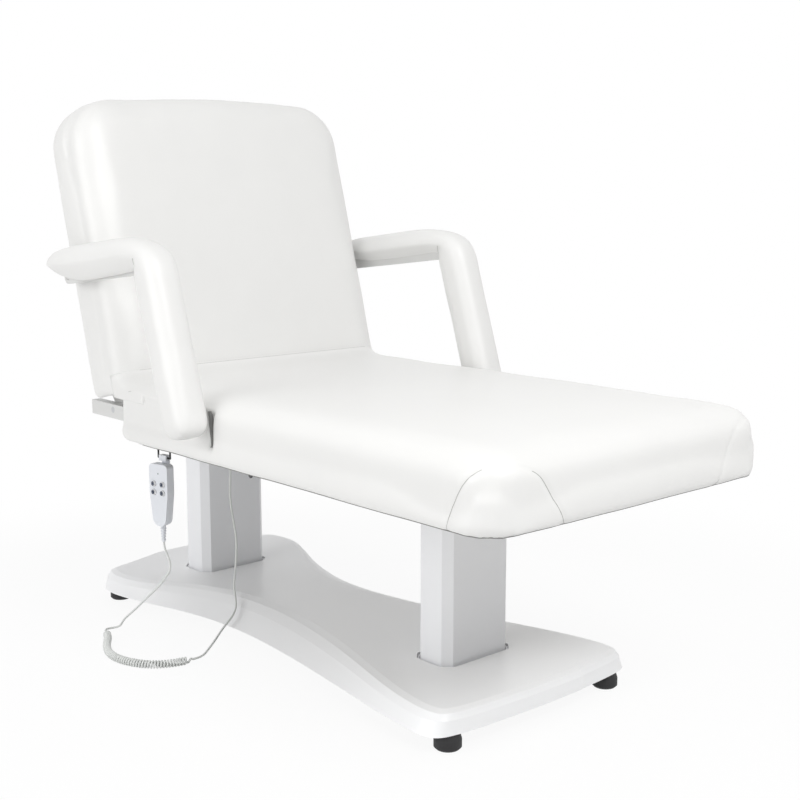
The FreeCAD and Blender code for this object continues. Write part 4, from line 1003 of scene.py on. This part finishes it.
@dataclass
class BackCushion:
    """Upholstered backrest on its tilted frame."""

    hinge: Point = (-0.436, 0.0, 0.506)
    angle: float = math.radians(74.4)
    start: float = 0.030
    end: float = 0.687
    width: float = 0.733
    rear: float = -0.051
    front: float = 0.087
    top_corner: float = 0.105
    low_corner: float = 0.012
    front_edge: float = 0.040
    rear_edge: float = 0.022
    low_round: float = 0.034
    bow: float = 0.012
    slump: float = 0.008
    toe: float = 0.024
    toe_reach: float = 0.09
    crest_reach: float = 0.20
    notch: Point = (0.102, 0.3525, 0.017)
    ripple: tuple[float, float] = (0.13, 0.0012)

    def place(self) -> Matrix:
        """Gives the matrix from the flat backrest to where it stands."""
        return Matrix.Translation(self.hinge) @ Matrix.Rotation(self.angle, 4, "Y")

    def build(self) -> Object:
        """Builds the cushion.

        Returns:
            The cushion.
        """
        corners = (self.top_corner, self.low_corner, self.low_corner, self.top_corner)
        obj = CushionForm("back_upholstery", (-self.end, -self.width / 2, self.rear),
                          (-self.start, self.width / 2, self.front), corners, self.front_edge, self.rear_edge,
                          lip=0.012, voxel=0.008).skin()
        rows = Shop.rows(obj.data)
        centre = (-self.start - self.low_round, self.rear + self.low_round)
        Shop.round_edge(rows, centre, (1, -1), self.low_round)
        rows[:, 0] += (self.toe * smooth_step(rows[:, 0], -self.start - self.toe_reach, -self.start)
                       * smooth_step(rows[:, 2], 0.0, self.front))
        reach, half, depth = self.notch
        over_rail = (rows[:, 0] > -reach) & (np.abs(rows[:, 1]) < half) & (rows[:, 2] < depth)
        rows[over_rail, 2] = depth + (rows[over_rail, 2] - depth) * 0.02
        upper = 1 - smooth_step(rows[:, 0], -self.end, -self.end + self.crest_reach)
        rows[:, 0] += self.slump * upper * smooth_step(-rows[:, 1], -0.05, 0.25)
        rows[:, 0] -= self.bow * upper * np.clip(1 - (2 * rows[:, 1] / self.width) ** 2, 0, 1)
        Shop.set_points(obj.data, rows)
        Shop.ripple(obj, *self.ripple)
        obj.data.transform(self.place())
        Shop.finish(obj, VINYL)
        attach(obj, "backrest")
        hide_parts("back_cushion")
        return obj


@dataclass
class HingeFlap:
    """Strip of vinyl that closes the gap between the seat and the backrest."""

    half: float = 0.346
    gusset: float = 0.015
    gusset_rows: int = 9
    seat_line: float = -0.282
    seam_height: float = 0.597
    sink: float = 0.0012
    thick: float = 0.0016
    rows: int = 30
    columns: int = 90
    above_seat: float = 0.75
    off_face: float = 0.1
    sharpest_pull: float = 0.04
    unsewn: int = 4
    thread: float = 0.0005
    stitch_gap: float = 0.005

    def build(self, seat: Object, cushion: Object, back: BackCushion) -> Object:
        """Builds the strip as one bent sheet and sews it to the backrest.

        Args:
            seat: seat cushion that it lies on.
            cushion: back cushion that it is sewn to.
            back: sizes of the backrest.

        Returns:
            The strip.
        """
        lean = Vector((math.sin(back.angle), 0, math.cos(back.angle)))
        along = Vector((-math.cos(back.angle), 0, math.sin(back.angle)))
        face = Vector(back.hinge) + lean * back.front
        seam = face + along * ((self.seam_height - face.z) / along.z)
        seat_tree, back_tree = Shop.surface(seat), Shop.surface(cushion)
        grid: list[list[Vector]] = []
        for y, turn in self.lines():
            down = seat_tree.ray_cast(Vector((self.seat_line, y, self.above_seat)), Vector((0, 0, -1)))[0]
            onto = back_tree.ray_cast(Vector((seam.x, y, seam.z)) + lean * self.off_face, -lean)[0]
            a = down - Vector((0, 0, self.sink))
            b = onto - lean * (self.sink * 0.4)
            corner = b - along * ((b.z - a.z) / along.z)
            grid.append(self.strip(a, corner, b, 1.0 / max(math.cos(turn), self.sharpest_pull)))
        obj = self.sheet(grid)
        Shop.modify(obj, ("SOLIDIFY", {"thickness": self.thick, "offset": 0.0}))
        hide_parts("hinge_flap")
        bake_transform(obj)
        edge = self.gusset_rows + self.unsewn
        sewn = [line[-1] + lean * self.thread for line in grid[edge:-edge]]
        Trim.lay("flap_seam", [sewn], self.thread, 0.004, VINYL_SEAM, "backrest", "vinyl")
        stitched = [point + along * self.stitch_gap + lean * 0.0006 for point in sewn]
        held = [back_tree.find_nearest(point)[0] + lean * 0.0002 for point in stitched]
        Trim.lay("flap_stitches", [held], self.thread, 0.0065, THREAD, "backrest", "vinyl", Repeat.STITCH)
        return obj

    def lines(self) -> list[tuple[float, float]]:
        """Gives the place across and the turn into the end of each line of the sheet.

        Returns:
            Pairs of Y and angle; the angle is 0 on the sheet and grows to a quarter turn at its closed ends.
        """
        across = [(-self.half + 2 * self.half * j / self.columns, 0.0) for j in range(self.columns + 1)]
        quarter = [math.pi / 2 * i / self.gusset_rows for i in range(1, self.gusset_rows + 1)]
        end = [(self.half + self.gusset * math.sin(turn), turn) for turn in quarter]
        return [(-y, turn) for y, turn in reversed(end)] + across + end

    def strip(self, start: Vector, corner: Vector, end: Vector, pull: float) -> list[Vector]:
        """Gives one line of the sheet from the seat up to its seam.

        Args:
            start: place on the seat.
            corner: where seat and backrest would meet.
            end: place on the backrest.
            pull: how strongly the line is drawn into the corner.

        Returns:
            Points of the line.
        """
        line = []
        for i in range(self.rows + 1):
            t = i / self.rows
            weights = ((1 - t) ** 2, 2 * pull * t * (1 - t), t ** 2)
            line.append((start * weights[0] + corner * weights[1] + end * weights[2]) / sum(weights))
        return line

    @staticmethod
    def sheet(grid: Sequence[Sequence[Vector]]) -> Object:
        """Makes the open sheet from its lines.

        Args:
            grid: lines with as many points each.

        Returns:
            The sheet, with no thickness yet.
        """
        count = len(grid[0])
        faces = [(i * count + j, i * count + j + 1, (i + 1) * count + j + 1, (i + 1) * count + j)
                 for i in range(len(grid) - 1) for j in range(count - 1)]
        mesh = bpy.data.meshes.new("hinge_flap_sheet")
        mesh.from_pydata([point for line in grid for point in line], [], faces)
        return Shop.finish(put("hinge_flap_sheet", mesh), VINYL)


@dataclass
class Armrest:
    """L-shaped padded armrest: a pointed pad, an elbow and a leg in one sewn sleeve.

    Each of its sections holds the inner and the outer edge in X and Z, half the width, the share of the pad's
    hull shape and the squareness.
    """

    side: int
    name: str
    middle: float = 0.407
    elbow: tuple[float, float] = (-0.14357, 0.83406)
    elbow_blend: float = 0.03
    foot: tuple[float, float] = (-0.0547, 0.548)
    heading: tuple[float, float] = (-0.3093, 0.951)
    leg_half: float = 0.042
    leg_width: float = 0.0375
    leg_square: float = 2.9
    leg_stops: tuple[float, ...] = (0.247, 0.20, 0.14, 0.08, 0.03, 0.0)
    end_stops: tuple[float, ...] = (0.012, 0.021, 0.029, 0.035, 0.0395, 0.0422, 0.0434)
    end_depth: float = 0.0437
    crease: float = 0.45
    slant: float = 0.80
    pleats: int = 13
    pleat_depth: float = 0.10
    swell: float = 0.002
    ripple: tuple[float, float] = (0.06, 0.0008)
    around: int = 48
    spacing: float = 0.0065
    mitre: int = 12
    sections: tuple[tuple[float, ...], ...] = (
        (-0.5760, 0.8110, -0.5760, 0.8145, 0.0030, 1.0, 2.0), (-0.5705, 0.8070, -0.5720, 0.8235, 0.0115, 1.0, 2.0),
        (-0.5560, 0.8010, -0.5590, 0.8345, 0.0205, 1.0, 2.0), (-0.5320, 0.7950, -0.5360, 0.8460, 0.0290, 1.0, 2.0),
        (-0.5000, 0.7910, -0.5030, 0.8545, 0.0348, 1.0, 2.0), (-0.4500, 0.7885, -0.4500, 0.8615, 0.0375, 1.0, 2.0),
        (-0.4000, 0.7915, -0.3980, 0.8680, 0.0375, 1.0, 2.0), (-0.3430, 0.7985, -0.3380, 0.8750, 0.0375, 1.0, 2.0),
        (-0.2900, 0.8060, -0.2830, 0.8810, 0.0375, 1.0, 2.0), (-0.2400, 0.8140, -0.2320, 0.8840, 0.0375, 1.0, 2.1),
        (-0.2080, 0.8190, -0.1940, 0.8830, 0.0375, 1.0, 2.2), (-0.1955, 0.8210, -0.1640, 0.8785, 0.0375, 0.9, 2.4),
        (-0.1890, 0.8245, -0.1395, 0.8705, 0.0360, 0.55, 2.6), (-0.1868, 0.8190, -0.1200, 0.8570, 0.0372, 0.3, 2.7),
        (-0.1842, 0.8125, -0.1070, 0.8400, 0.0375, 0.12, 2.8), (-0.1805, 0.8010, -0.0985, 0.8200, 0.0375, 0.0, 2.9))

    def stations(self) -> list[np.ndarray]:
        """Gives the cross-sections from the pad's tip to the foot of the leg, evenly spaced.

        Returns:
            One row for each cross-section.
        """
        up, out = np.array(self.heading), np.array((self.heading[1], -self.heading[0]))
        rows = [np.array(section) for section in self.sections]
        for stop in self.leg_stops:
            rows.append(self.leg_row(np.array(self.foot) + up * stop, out * self.leg_half, 1.0))
        path = np.array(smooth_path(rows, 24))
        middles = (path[:, 0:2] + path[:, 2:4]) / 2
        runs = np.maximum(np.linalg.norm(np.diff(middles, axis=0), axis=1), TINY)
        place = np.concatenate(([0.0], np.cumsum(runs)))
        at = np.linspace(0.0, place[-1], int(place[-1] / self.spacing))
        even = [np.array([np.interp(s, place, path[:, k]) for k in range(path.shape[1])]) for s in at]
        for stop in self.end_stops:
            share = (1 - (stop / self.end_depth) ** 3) ** (1 / 3)
            even.append(self.leg_row(np.array(self.foot) - up * stop, out * self.leg_half * share, share ** 0.8))
        return even

    def leg_row(self, centre: np.ndarray, reach: np.ndarray, share: float) -> np.ndarray:
        """Gives a cross-section of the leg about a centre, from its reach and its share of the full width."""
        return np.concatenate((centre - reach, centre + reach, (self.leg_width * share, 0.0, self.leg_square)))

    def ring(self, row: np.ndarray, gather: float) -> list[Point]:
        """Gives the points of one cross-section.

        Args:
            row: the cross-section.
            gather: depth of the gathers.

        Returns:
            The ring's points, from the middle of its inner side.
        """
        inner, outer, (half, hull, square) = row[0:2], row[2:4], row[4:7]
        crease = 0.5 + (self.crease - 0.5) * hull
        points = []
        for k in range(self.around):
            turn = 2 * math.pi * k / self.around - math.pi / 2
            c, s = math.cos(turn), math.sin(turn)
            power = 2 / (square + 1.4 * hull if s < 0 else square)
            y = math.copysign(abs(c) ** power, c) * half
            lift = math.copysign(abs(s) ** power, s)
            t = crease + lift * (1 - crease) if lift > 0 else crease + lift * crease
            y *= 1 - hull * self.slant * max(1 - t / crease, 0)
            y *= 1 + gather * math.sin(self.pleats * turn)
            x, z = inner + (outer - inner) * t
            points.append((x, self.side * (self.middle + y), z))
        return points

    def build(self) -> Object:
        """Builds the sleeve and its mitre seam.

        Returns:
            The armrest.
        """
        stations = self.stations()
        ends = len(self.end_stops)
        rings = []
        for i, row in enumerate(stations):
            depth = max(i - (len(stations) - ends - 1), 0) / ends
            rings.append(self.ring(row, self.pleat_depth * depth ** 2))
        obj = Shop.from_rings("armrest_" + self.name, rings)
        count = len(rings) * self.around
        held = np.zeros(len(obj.data.vertices), dtype=bool)
        for k in (self.around // 4, 3 * self.around // 4):
            held[np.arange(k, count, self.around)] = True
        held[:4 * self.around] = held[-ends * self.around:] = True
        Shop.inflate(obj, held, self.swell)
        rows = Shop.rows(obj.data)
        corner = np.array(self.sections[self.mitre][0:2])
        near = min(range(len(stations)), key=lambda i: float(np.linalg.norm(stations[i][0:2] - corner)))
        quarter = self.around // 4
        first = near * self.around
        sewn = [Vector(rows[first + k]) for k in range(-quarter, quarter + 1)]
        Shop.modify(obj, SUBDIVIDE)
        Shop.ripple(obj, *self.ripple)
        Shop.finish(obj, VINYL)
        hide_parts("arm_leg_padding_" + self.name, "arm_pad_padding_" + self.name)
        line = NodeTrees.lay("armrest_seam_" + self.name, [sewn], Repeat.THREAD, VINYL_SEAM, Radius=0.0008,
                             Pitch=0.004)
        for piece in (obj, line):
            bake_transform(piece)
        return obj


# Trim


class Trim:
    """Seams, dark strips of painted shade, stitches, screws and button marks."""

    @staticmethod
    def lay(name: str, paths: Iterable[Sequence[Vector]], radius: float, pitch: float, finish: Finish, body: str,
            slot: str, kind: Repeat = Repeat.THREAD, **sizes: object) -> None:
        """Makes a piece along paths and fixes it to a body.

        Args:
            name: name of the piece.
            paths: paths that it follows.
            radius: its radius.
            pitch: spacing along the path.
            finish: its finish.
            body: body that it rides on.
            slot: not used.
            kind: what is made along them.
            sizes: its further sizes.
        """
        obj = NodeTrees.lay(name, paths, kind, finish, Radius=radius, Pitch=pitch, **sizes)
        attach(obj, body)
        LOG.info("%s: %d faces", name, len(obj.data.polygons))

    @classmethod
    def column_gaskets(cls) -> None:
        """Lays the pale seal between the cover and the foot of each column."""
        half, wide, cut, sunk = 0.0490, 0.0915, 0.017, 0.006
        corners = [(half, wide - cut), (half - cut, wide), (cut - half, wide), (-half, wide - cut)]
        plan = corners + [(-a, -b) for a, b in corners]
        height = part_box("base_cover")[1][2] - sunk
        for name in ("head", "foot"):
            low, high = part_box("column_outer_" + name)
            ring = [Vector(((low[0] + high[0]) / 2 + a, b, height)) for a, b in plan + plan[:1]]
            cls.lay("column_gasket_" + name, [ring], 0.0030, 0.01, COLUMN, "base", "rubber")

    @classmethod
    def button_marks(cls) -> None:
        """Puts a ring and an arrow on each button of the handset."""
        ring_radius, arrow_radius, proud = 0.0040, 0.0022, 0.0001
        ring_turns = [2 * math.pi * i / 24 for i in range(25)]
        arrow_turns = (0, 2.3, -2.3, 0)
        for name, turn in (("lift_up", 0.0), ("lift_down", math.pi), ("back_up", 0.0), ("back_down", math.pi)):
            low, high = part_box("button_" + name)
            centre = Vector(((low[0] + high[0]) / 2, low[1] - proud, (low[2] + high[2]) / 2))
            ring = [centre + Vector((math.cos(a), 0, math.sin(a))) * ring_radius for a in ring_turns]
            arrow = [centre + Vector((math.sin(a + turn), 0, math.cos(a + turn))) * arrow_radius
                     for a in arrow_turns]
            cls.lay("mark_" + name, [ring, arrow], 0.00075, 0.0006, ICON, "button_" + name, "button_grey")

    @classmethod
    def panel_screws(cls, frame: dict, back: BackCushion) -> None:
        """Sets cross-head screws round the rim of the back panel.

        Args:
            frame: the loaded frame.
            back: sizes of the backrest.
        """
        place = back.place()
        flat = place.inverted()
        points = np.array([flat @ vertex.co for vertex in frame["nodes"]["back_panel"].data.vertices])
        low, high = points.min(axis=0), points.max(axis=0)
        rim = rounded_plan(low, high, (0.09, 0.03, 0.03, 0.09), 0.016, step=0.16, arc=3)
        line = [place @ Vector((x, y, low[2] - 0.0002)) for x, y in rim + rim[:1]]
        turn = Vector((0, 0, 1)).rotation_difference(place.to_3x3() @ Vector((0, 0, -1))).to_euler()
        cls.lay("back_panel_screws", [line], 0.0042, 0.13, ZINC, "backrest", "zinc", Repeat.SCREW,
                Rotation=tuple(turn))


# Cord


@dataclass
class HandsetCord:
    """Handset cord: a lead down from the handset, a curly stretch on the floor, a drop from the control box."""

    diameter: float = 0.0045
    helix: float = 0.00655
    turns: int = 54
    per_turn: int = 14
    unwound: float = 1.4
    end_pace: float = 3.0
    end_trim: int = 3
    length: float = 3.15
    lead: tuple[Point, ...] = (
        (-0.254, -0.340, 0.248), (-0.254, -0.340, 0.235), (-0.241, -0.340, 0.221), (-0.231, -0.340, 0.205),
        (-0.233, -0.340, 0.188), (-0.248, -0.341, 0.172), (-0.279, -0.342, 0.143), (-0.312, -0.344, 0.118),
        (-0.344, -0.346, 0.092), (-0.376, -0.350, 0.066), (-0.409, -0.352, 0.042), (-0.432, -0.347, 0.024),
        (-0.449, -0.342, 0.012), (-0.460, -0.347, 0.007), (-0.4660, -0.359, 0.006), (-0.4605, -0.3720, 0.008))
    coil: tuple[Point, ...] = (
        (-0.4471, -0.3794, 0.009), (-0.412, -0.391, 0.009), (-0.370, -0.420, 0.009), (-0.330, -0.439, 0.009),
        (-0.293, -0.445, 0.009), (-0.259, -0.441, 0.009), (-0.224, -0.427, 0.009), (-0.198, -0.407, 0.009),
        (-0.183, -0.381, 0.009), (-0.174, -0.351, 0.009), (-0.169, -0.323, 0.009))
    drop: tuple[Point, ...] = (
        (-0.169, -0.322, 0.009), (-0.172, -0.304, 0.009), (-0.187, -0.281, 0.013), (-0.204, -0.252, 0.022),
        (-0.225, -0.215, 0.038), (-0.231, -0.186, 0.055), (-0.246, -0.167, 0.066), (-0.267, -0.153, 0.075),
        (-0.292, -0.139, 0.084), (-0.298, -0.136, 0.102), (-0.291, -0.137, 0.130), (-0.281, -0.140, 0.170),
        (-0.273, -0.143, 0.208), (-0.278, -0.147, 0.254), (-0.285, -0.151, 0.303), (-0.276, -0.154, 0.360),
        (-0.272, -0.156, 0.400), (-0.272, -0.156, 0.425))

    @staticmethod
    def curve(name: str, points: Sequence[Point], bevel: float) -> Mesh:
        """Makes the mesh of a NURBS curve with points as its control points.

        Args:
            name: name of the curve.
            points: control points.
            bevel: radius of the tube, or 0 for a line.

        Returns:
            The mesh.
        """
        data = bpy.data.curves.new(name, "CURVE")
        data.dimensions = "3D"
        data.resolution_u = 4
        data.bevel_depth = bevel
        data.bevel_resolution = 3
        data.use_fill_caps = bevel > 0
        spline = data.splines.new("NURBS")
        spline.points.add(len(points) - 1)
        for control, point in zip(spline.points, points):
            control.co = (*point, 1.0)
        spline.order_u = 3
        spline.use_endpoint_u = True
        obj = put(name, data)
        mesh = Shop.baked(obj)
        bpy.data.objects.remove(obj)
        return mesh

    @classmethod
    def trace(cls, points: Sequence[Point]) -> list[Vector]:
        """Reads the points of a route's NURBS line.

        Args:
            points: control points of the route.

        Returns:
            Points along the line.
        """
        mesh = cls.curve("route", points, 0.0)
        line = [vertex.co.copy() for vertex in mesh.vertices]
        bpy.data.meshes.remove(mesh)
        return line

    def curly(self) -> list[Point]:
        """Winds the helix about the curly stretch's line.

        Returns:
            Control points of the curly stretch.
        """
        line = np.array(self.trace(self.coil))
        place = run_lengths(line)
        share = np.arange(self.turns * self.per_turn + 1) / self.per_turn
        wound = np.clip(np.minimum(share, self.turns - share) / self.unwound, 0.0, 1.0)
        steps = np.cumsum(1.0 + self.end_pace * (1.0 - wound))
        at = place[-1] * (steps - steps[0]) / (steps[-1] - steps[0])
        middle = np.stack([np.interp(at, place, line[:, k]) for k in range(3)], axis=1)
        ahead = np.gradient(middle, axis=0)
        ahead /= np.linalg.norm(ahead, axis=1, keepdims=True)
        up = np.array((0.0, 0.0, 1.0))
        across = np.cross(ahead, up)
        across /= np.linalg.norm(across, axis=1, keepdims=True)
        radius = self.helix * wound
        angle = (2 * math.pi * share)[:, None]
        ring = across * np.sin(angle) + up * -np.cos(angle)
        return [tuple(row) for row in middle + ring * radius[:, None]]

    def build(self) -> Object:
        """Builds the cord as one tube.

        Returns:
            The cord.
        """
        route = [*self.lead, *self.curly()[self.end_trim:-self.end_trim], *self.drop[1:]]
        path = self.trace(route)
        obj = Shop.finish(put("handset_cord", self.curve("cord_tube", route, self.diameter / 2)), CORD)
        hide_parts("handset_cord_lead", "handset_cord_coil", "handset_cord_drop")
        LOG.info("handset cord measures %.3f m", run_lengths(np.array(path))[-1])
        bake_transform(obj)
        return obj


# Carried-over hardware, camera and studio


class Hardware:
    """The CAD nodes that keep their shape and get a finish."""

    @staticmethod
    def dress(frame: dict) -> None:
        """Gives every CAD node the finish of its material slot.

        Args:
            frame: the loaded frame.
        """
        by_slot = {finish.slot: finish for finish in CAD_FINISHES}
        for part in frame["record"]["subparts"]:
            obj = frame["nodes"][part["node"]]
            material = by_slot[part["material_slot"]].material()
            if not obj.material_slots:
                obj.data.materials.append(material)
            for place in obj.material_slots:
                place.material = material


@dataclass
class PhotoCamera:
    """Camera at the photograph's place."""

    place: Point = (2.0253, -1.7122, 0.9769)
    yaw: float = math.radians(48.2)
    pitch: float = math.radians(9.3)
    lens: float = 57.75
    sensor: float = 36.0
    far: float = 60.0

    def build(self) -> None:
        """Creates the camera and makes it the scene's own."""
        data = bpy.data.cameras.new("photo_camera")
        data.lens = self.lens
        data.sensor_width = self.sensor
        data.sensor_fit = "HORIZONTAL"
        data.clip_end = self.far
        level = math.cos(self.pitch)
        ahead = Vector((-math.sin(self.yaw) * level, math.cos(self.yaw) * level, -math.sin(self.pitch)))
        camera = put("photo_camera", data)
        camera.matrix_world = aimed(self.place, ahead)
        bpy.context.scene.camera = camera


@dataclass(frozen=True)
class Lamp:
    """A soft box of the studio."""

    name: str
    place: Point
    aim: Point
    size: float
    power: float

    def build(self) -> None:
        """Sets up the lamp."""
        data = bpy.data.lights.new(self.name, "AREA")
        data.size = self.size
        data.energy = self.power
        put(self.name, data).matrix_world = aimed(self.place, Vector(self.aim) - Vector(self.place))


@dataclass
class Studio:
    """White floor, white surroundings and soft boxes."""

    ambient: float = 0.63
    dim: float = 0.30
    dim_at: float = 0.8
    floor_half: float = 9.0
    floor_grey: float = 0.86
    floor_roughness: float = 0.9
    floor_glow: float = 0.92
    glow_from: float = 0.95
    glow_to: float = 1.75
    lamps: tuple[Lamp, ...] = (
        Lamp("left_box", (-0.5, -3.4, 1.3), (0.0, 0.0, 0.25), 2.2, 39.0),
        Lamp("front_box", (2.7, -0.5, 3.3), (0.3, 0.0, 0.4), 1.8, 92.0),
    )

    def build(self) -> None:
        """Builds floor, surroundings and lamps."""
        self.floor()
        self.surroundings()
        for lamp in self.lamps:
            lamp.build()
        bpy.context.scene.view_settings.view_transform = "Standard"

    @staticmethod
    def seen(tree: Tree) -> Socket:
        """Adds nodes that tell whether a ray shows the background.

        Args:
            tree: node tree that gets them.

        Returns:
            A value of 1 for camera, glossy and transmission rays.
        """
        path = node(tree, "ShaderNodeLightPath")
        value = path.outputs["Is Camera Ray"]
        for name in ("Is Glossy Ray", "Is Transmission Ray"):
            value = node(tree, "ShaderNodeMath", {0: value, 1: path.outputs[name]}, operation="MAXIMUM").outputs[0]
        return value

    def floor(self) -> None:
        """Builds the white floor, which keeps a pale shadow."""
        half = self.floor_half
        mesh = bpy.data.meshes.new("floor")
        mesh.from_pydata([(-half, -half, 0), (half, -half, 0), (half, half, 0), (-half, half, 0)], [], [(0, 1, 2, 3)])
        material = bpy.data.materials.new("studio_floor")
        material.use_nodes = True
        tree = material.node_tree
        shader = tree.nodes["Principled BSDF"]
        wire(tree, shader, {}, {"Base Color": (*[self.floor_grey] * 3, 1.0), "Roughness": self.floor_roughness,
                                "Specular IOR Level": 0.0})
        glow = node(tree, "ShaderNodeEmission", values={"Strength": 1.0})
        place = node(tree, "ShaderNodeTexCoord")
        far = node(tree, "ShaderNodeVectorMath", {0: place.outputs["Object"]}, operation="LENGTH")
        level = node(tree, "ShaderNodeMapRange", {"Value": far.outputs["Value"]}, {
            "From Min": self.glow_from, "From Max": self.glow_to, "To Min": self.floor_glow, "To Max": 1.0,
        }, interpolation_type="SMOOTHSTEP")
        share = node(tree, "ShaderNodeMath", {0: self.seen(tree), 1: level.outputs["Result"]}, operation="MULTIPLY")
        mix = node(tree, "ShaderNodeMixShader", {0: share.outputs[0], 1: shader.outputs[0], 2: glow.outputs[0]})
        wire(tree, tree.nodes["Material Output"], {"Surface": mix.outputs[0]})
        mesh.materials.append(material)
        put("floor", mesh)

    def surroundings(self) -> None:
        """Sets the soft light of the room, weaker from the foot end; the room looks white itself."""
        world = bpy.data.worlds.new("studio")
        bpy.context.scene.world = world
        world.use_nodes = True
        tree = world.node_tree
        way = node(tree, "ShaderNodeTexCoord")
        split = node(tree, "ShaderNodeSeparateXYZ", {0: way.outputs["Generated"]})
        fall = node(tree, "ShaderNodeMapRange", {"Value": split.outputs["X"]}, {
            "From Min": 0.0, "From Max": self.dim_at, "To Min": self.ambient, "To Max": self.dim})
        level = node(tree, "ShaderNodeMapRange", {"Value": self.seen(tree), "To Min": fall.outputs["Result"]},
                     {"To Max": 1.0})
        wire(tree, tree.nodes["Background"], {"Strength": level.outputs["Result"]}, {"Color": (1.0, 1.0, 1.0, 1.0)})


def main() -> None:
    """Builds the table's pieces in order and reports each."""
    logging.basicConfig(level=logging.INFO, format="%(message)s")
    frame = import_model()
    PhotoCamera().build()
    LOG.info("camera set")
    HandsetCord().build()
    Hardware.dress(frame)
    LOG.info("finishes on %d CAD nodes", len(frame["nodes"]))
    back = BackCushion()
    seat, cushion = SeatCushion().build(), back.build()
    flap = HingeFlap().build(seat, cushion, back)
    arms = [Armrest(side, name).build() for side, name in ((1, "left"), (-1, "right"))]
    for piece in (seat, cushion, flap, *arms):
        LOG.info("%s: %d faces", piece.name, len(piece.data.polygons))
    Trim.column_gaskets()
    Trim.button_marks()
    Trim.panel_screws(frame, back)
    Studio().build()
    bpy.context.view_layer.update()


if __name__ == "__main__":
    main()
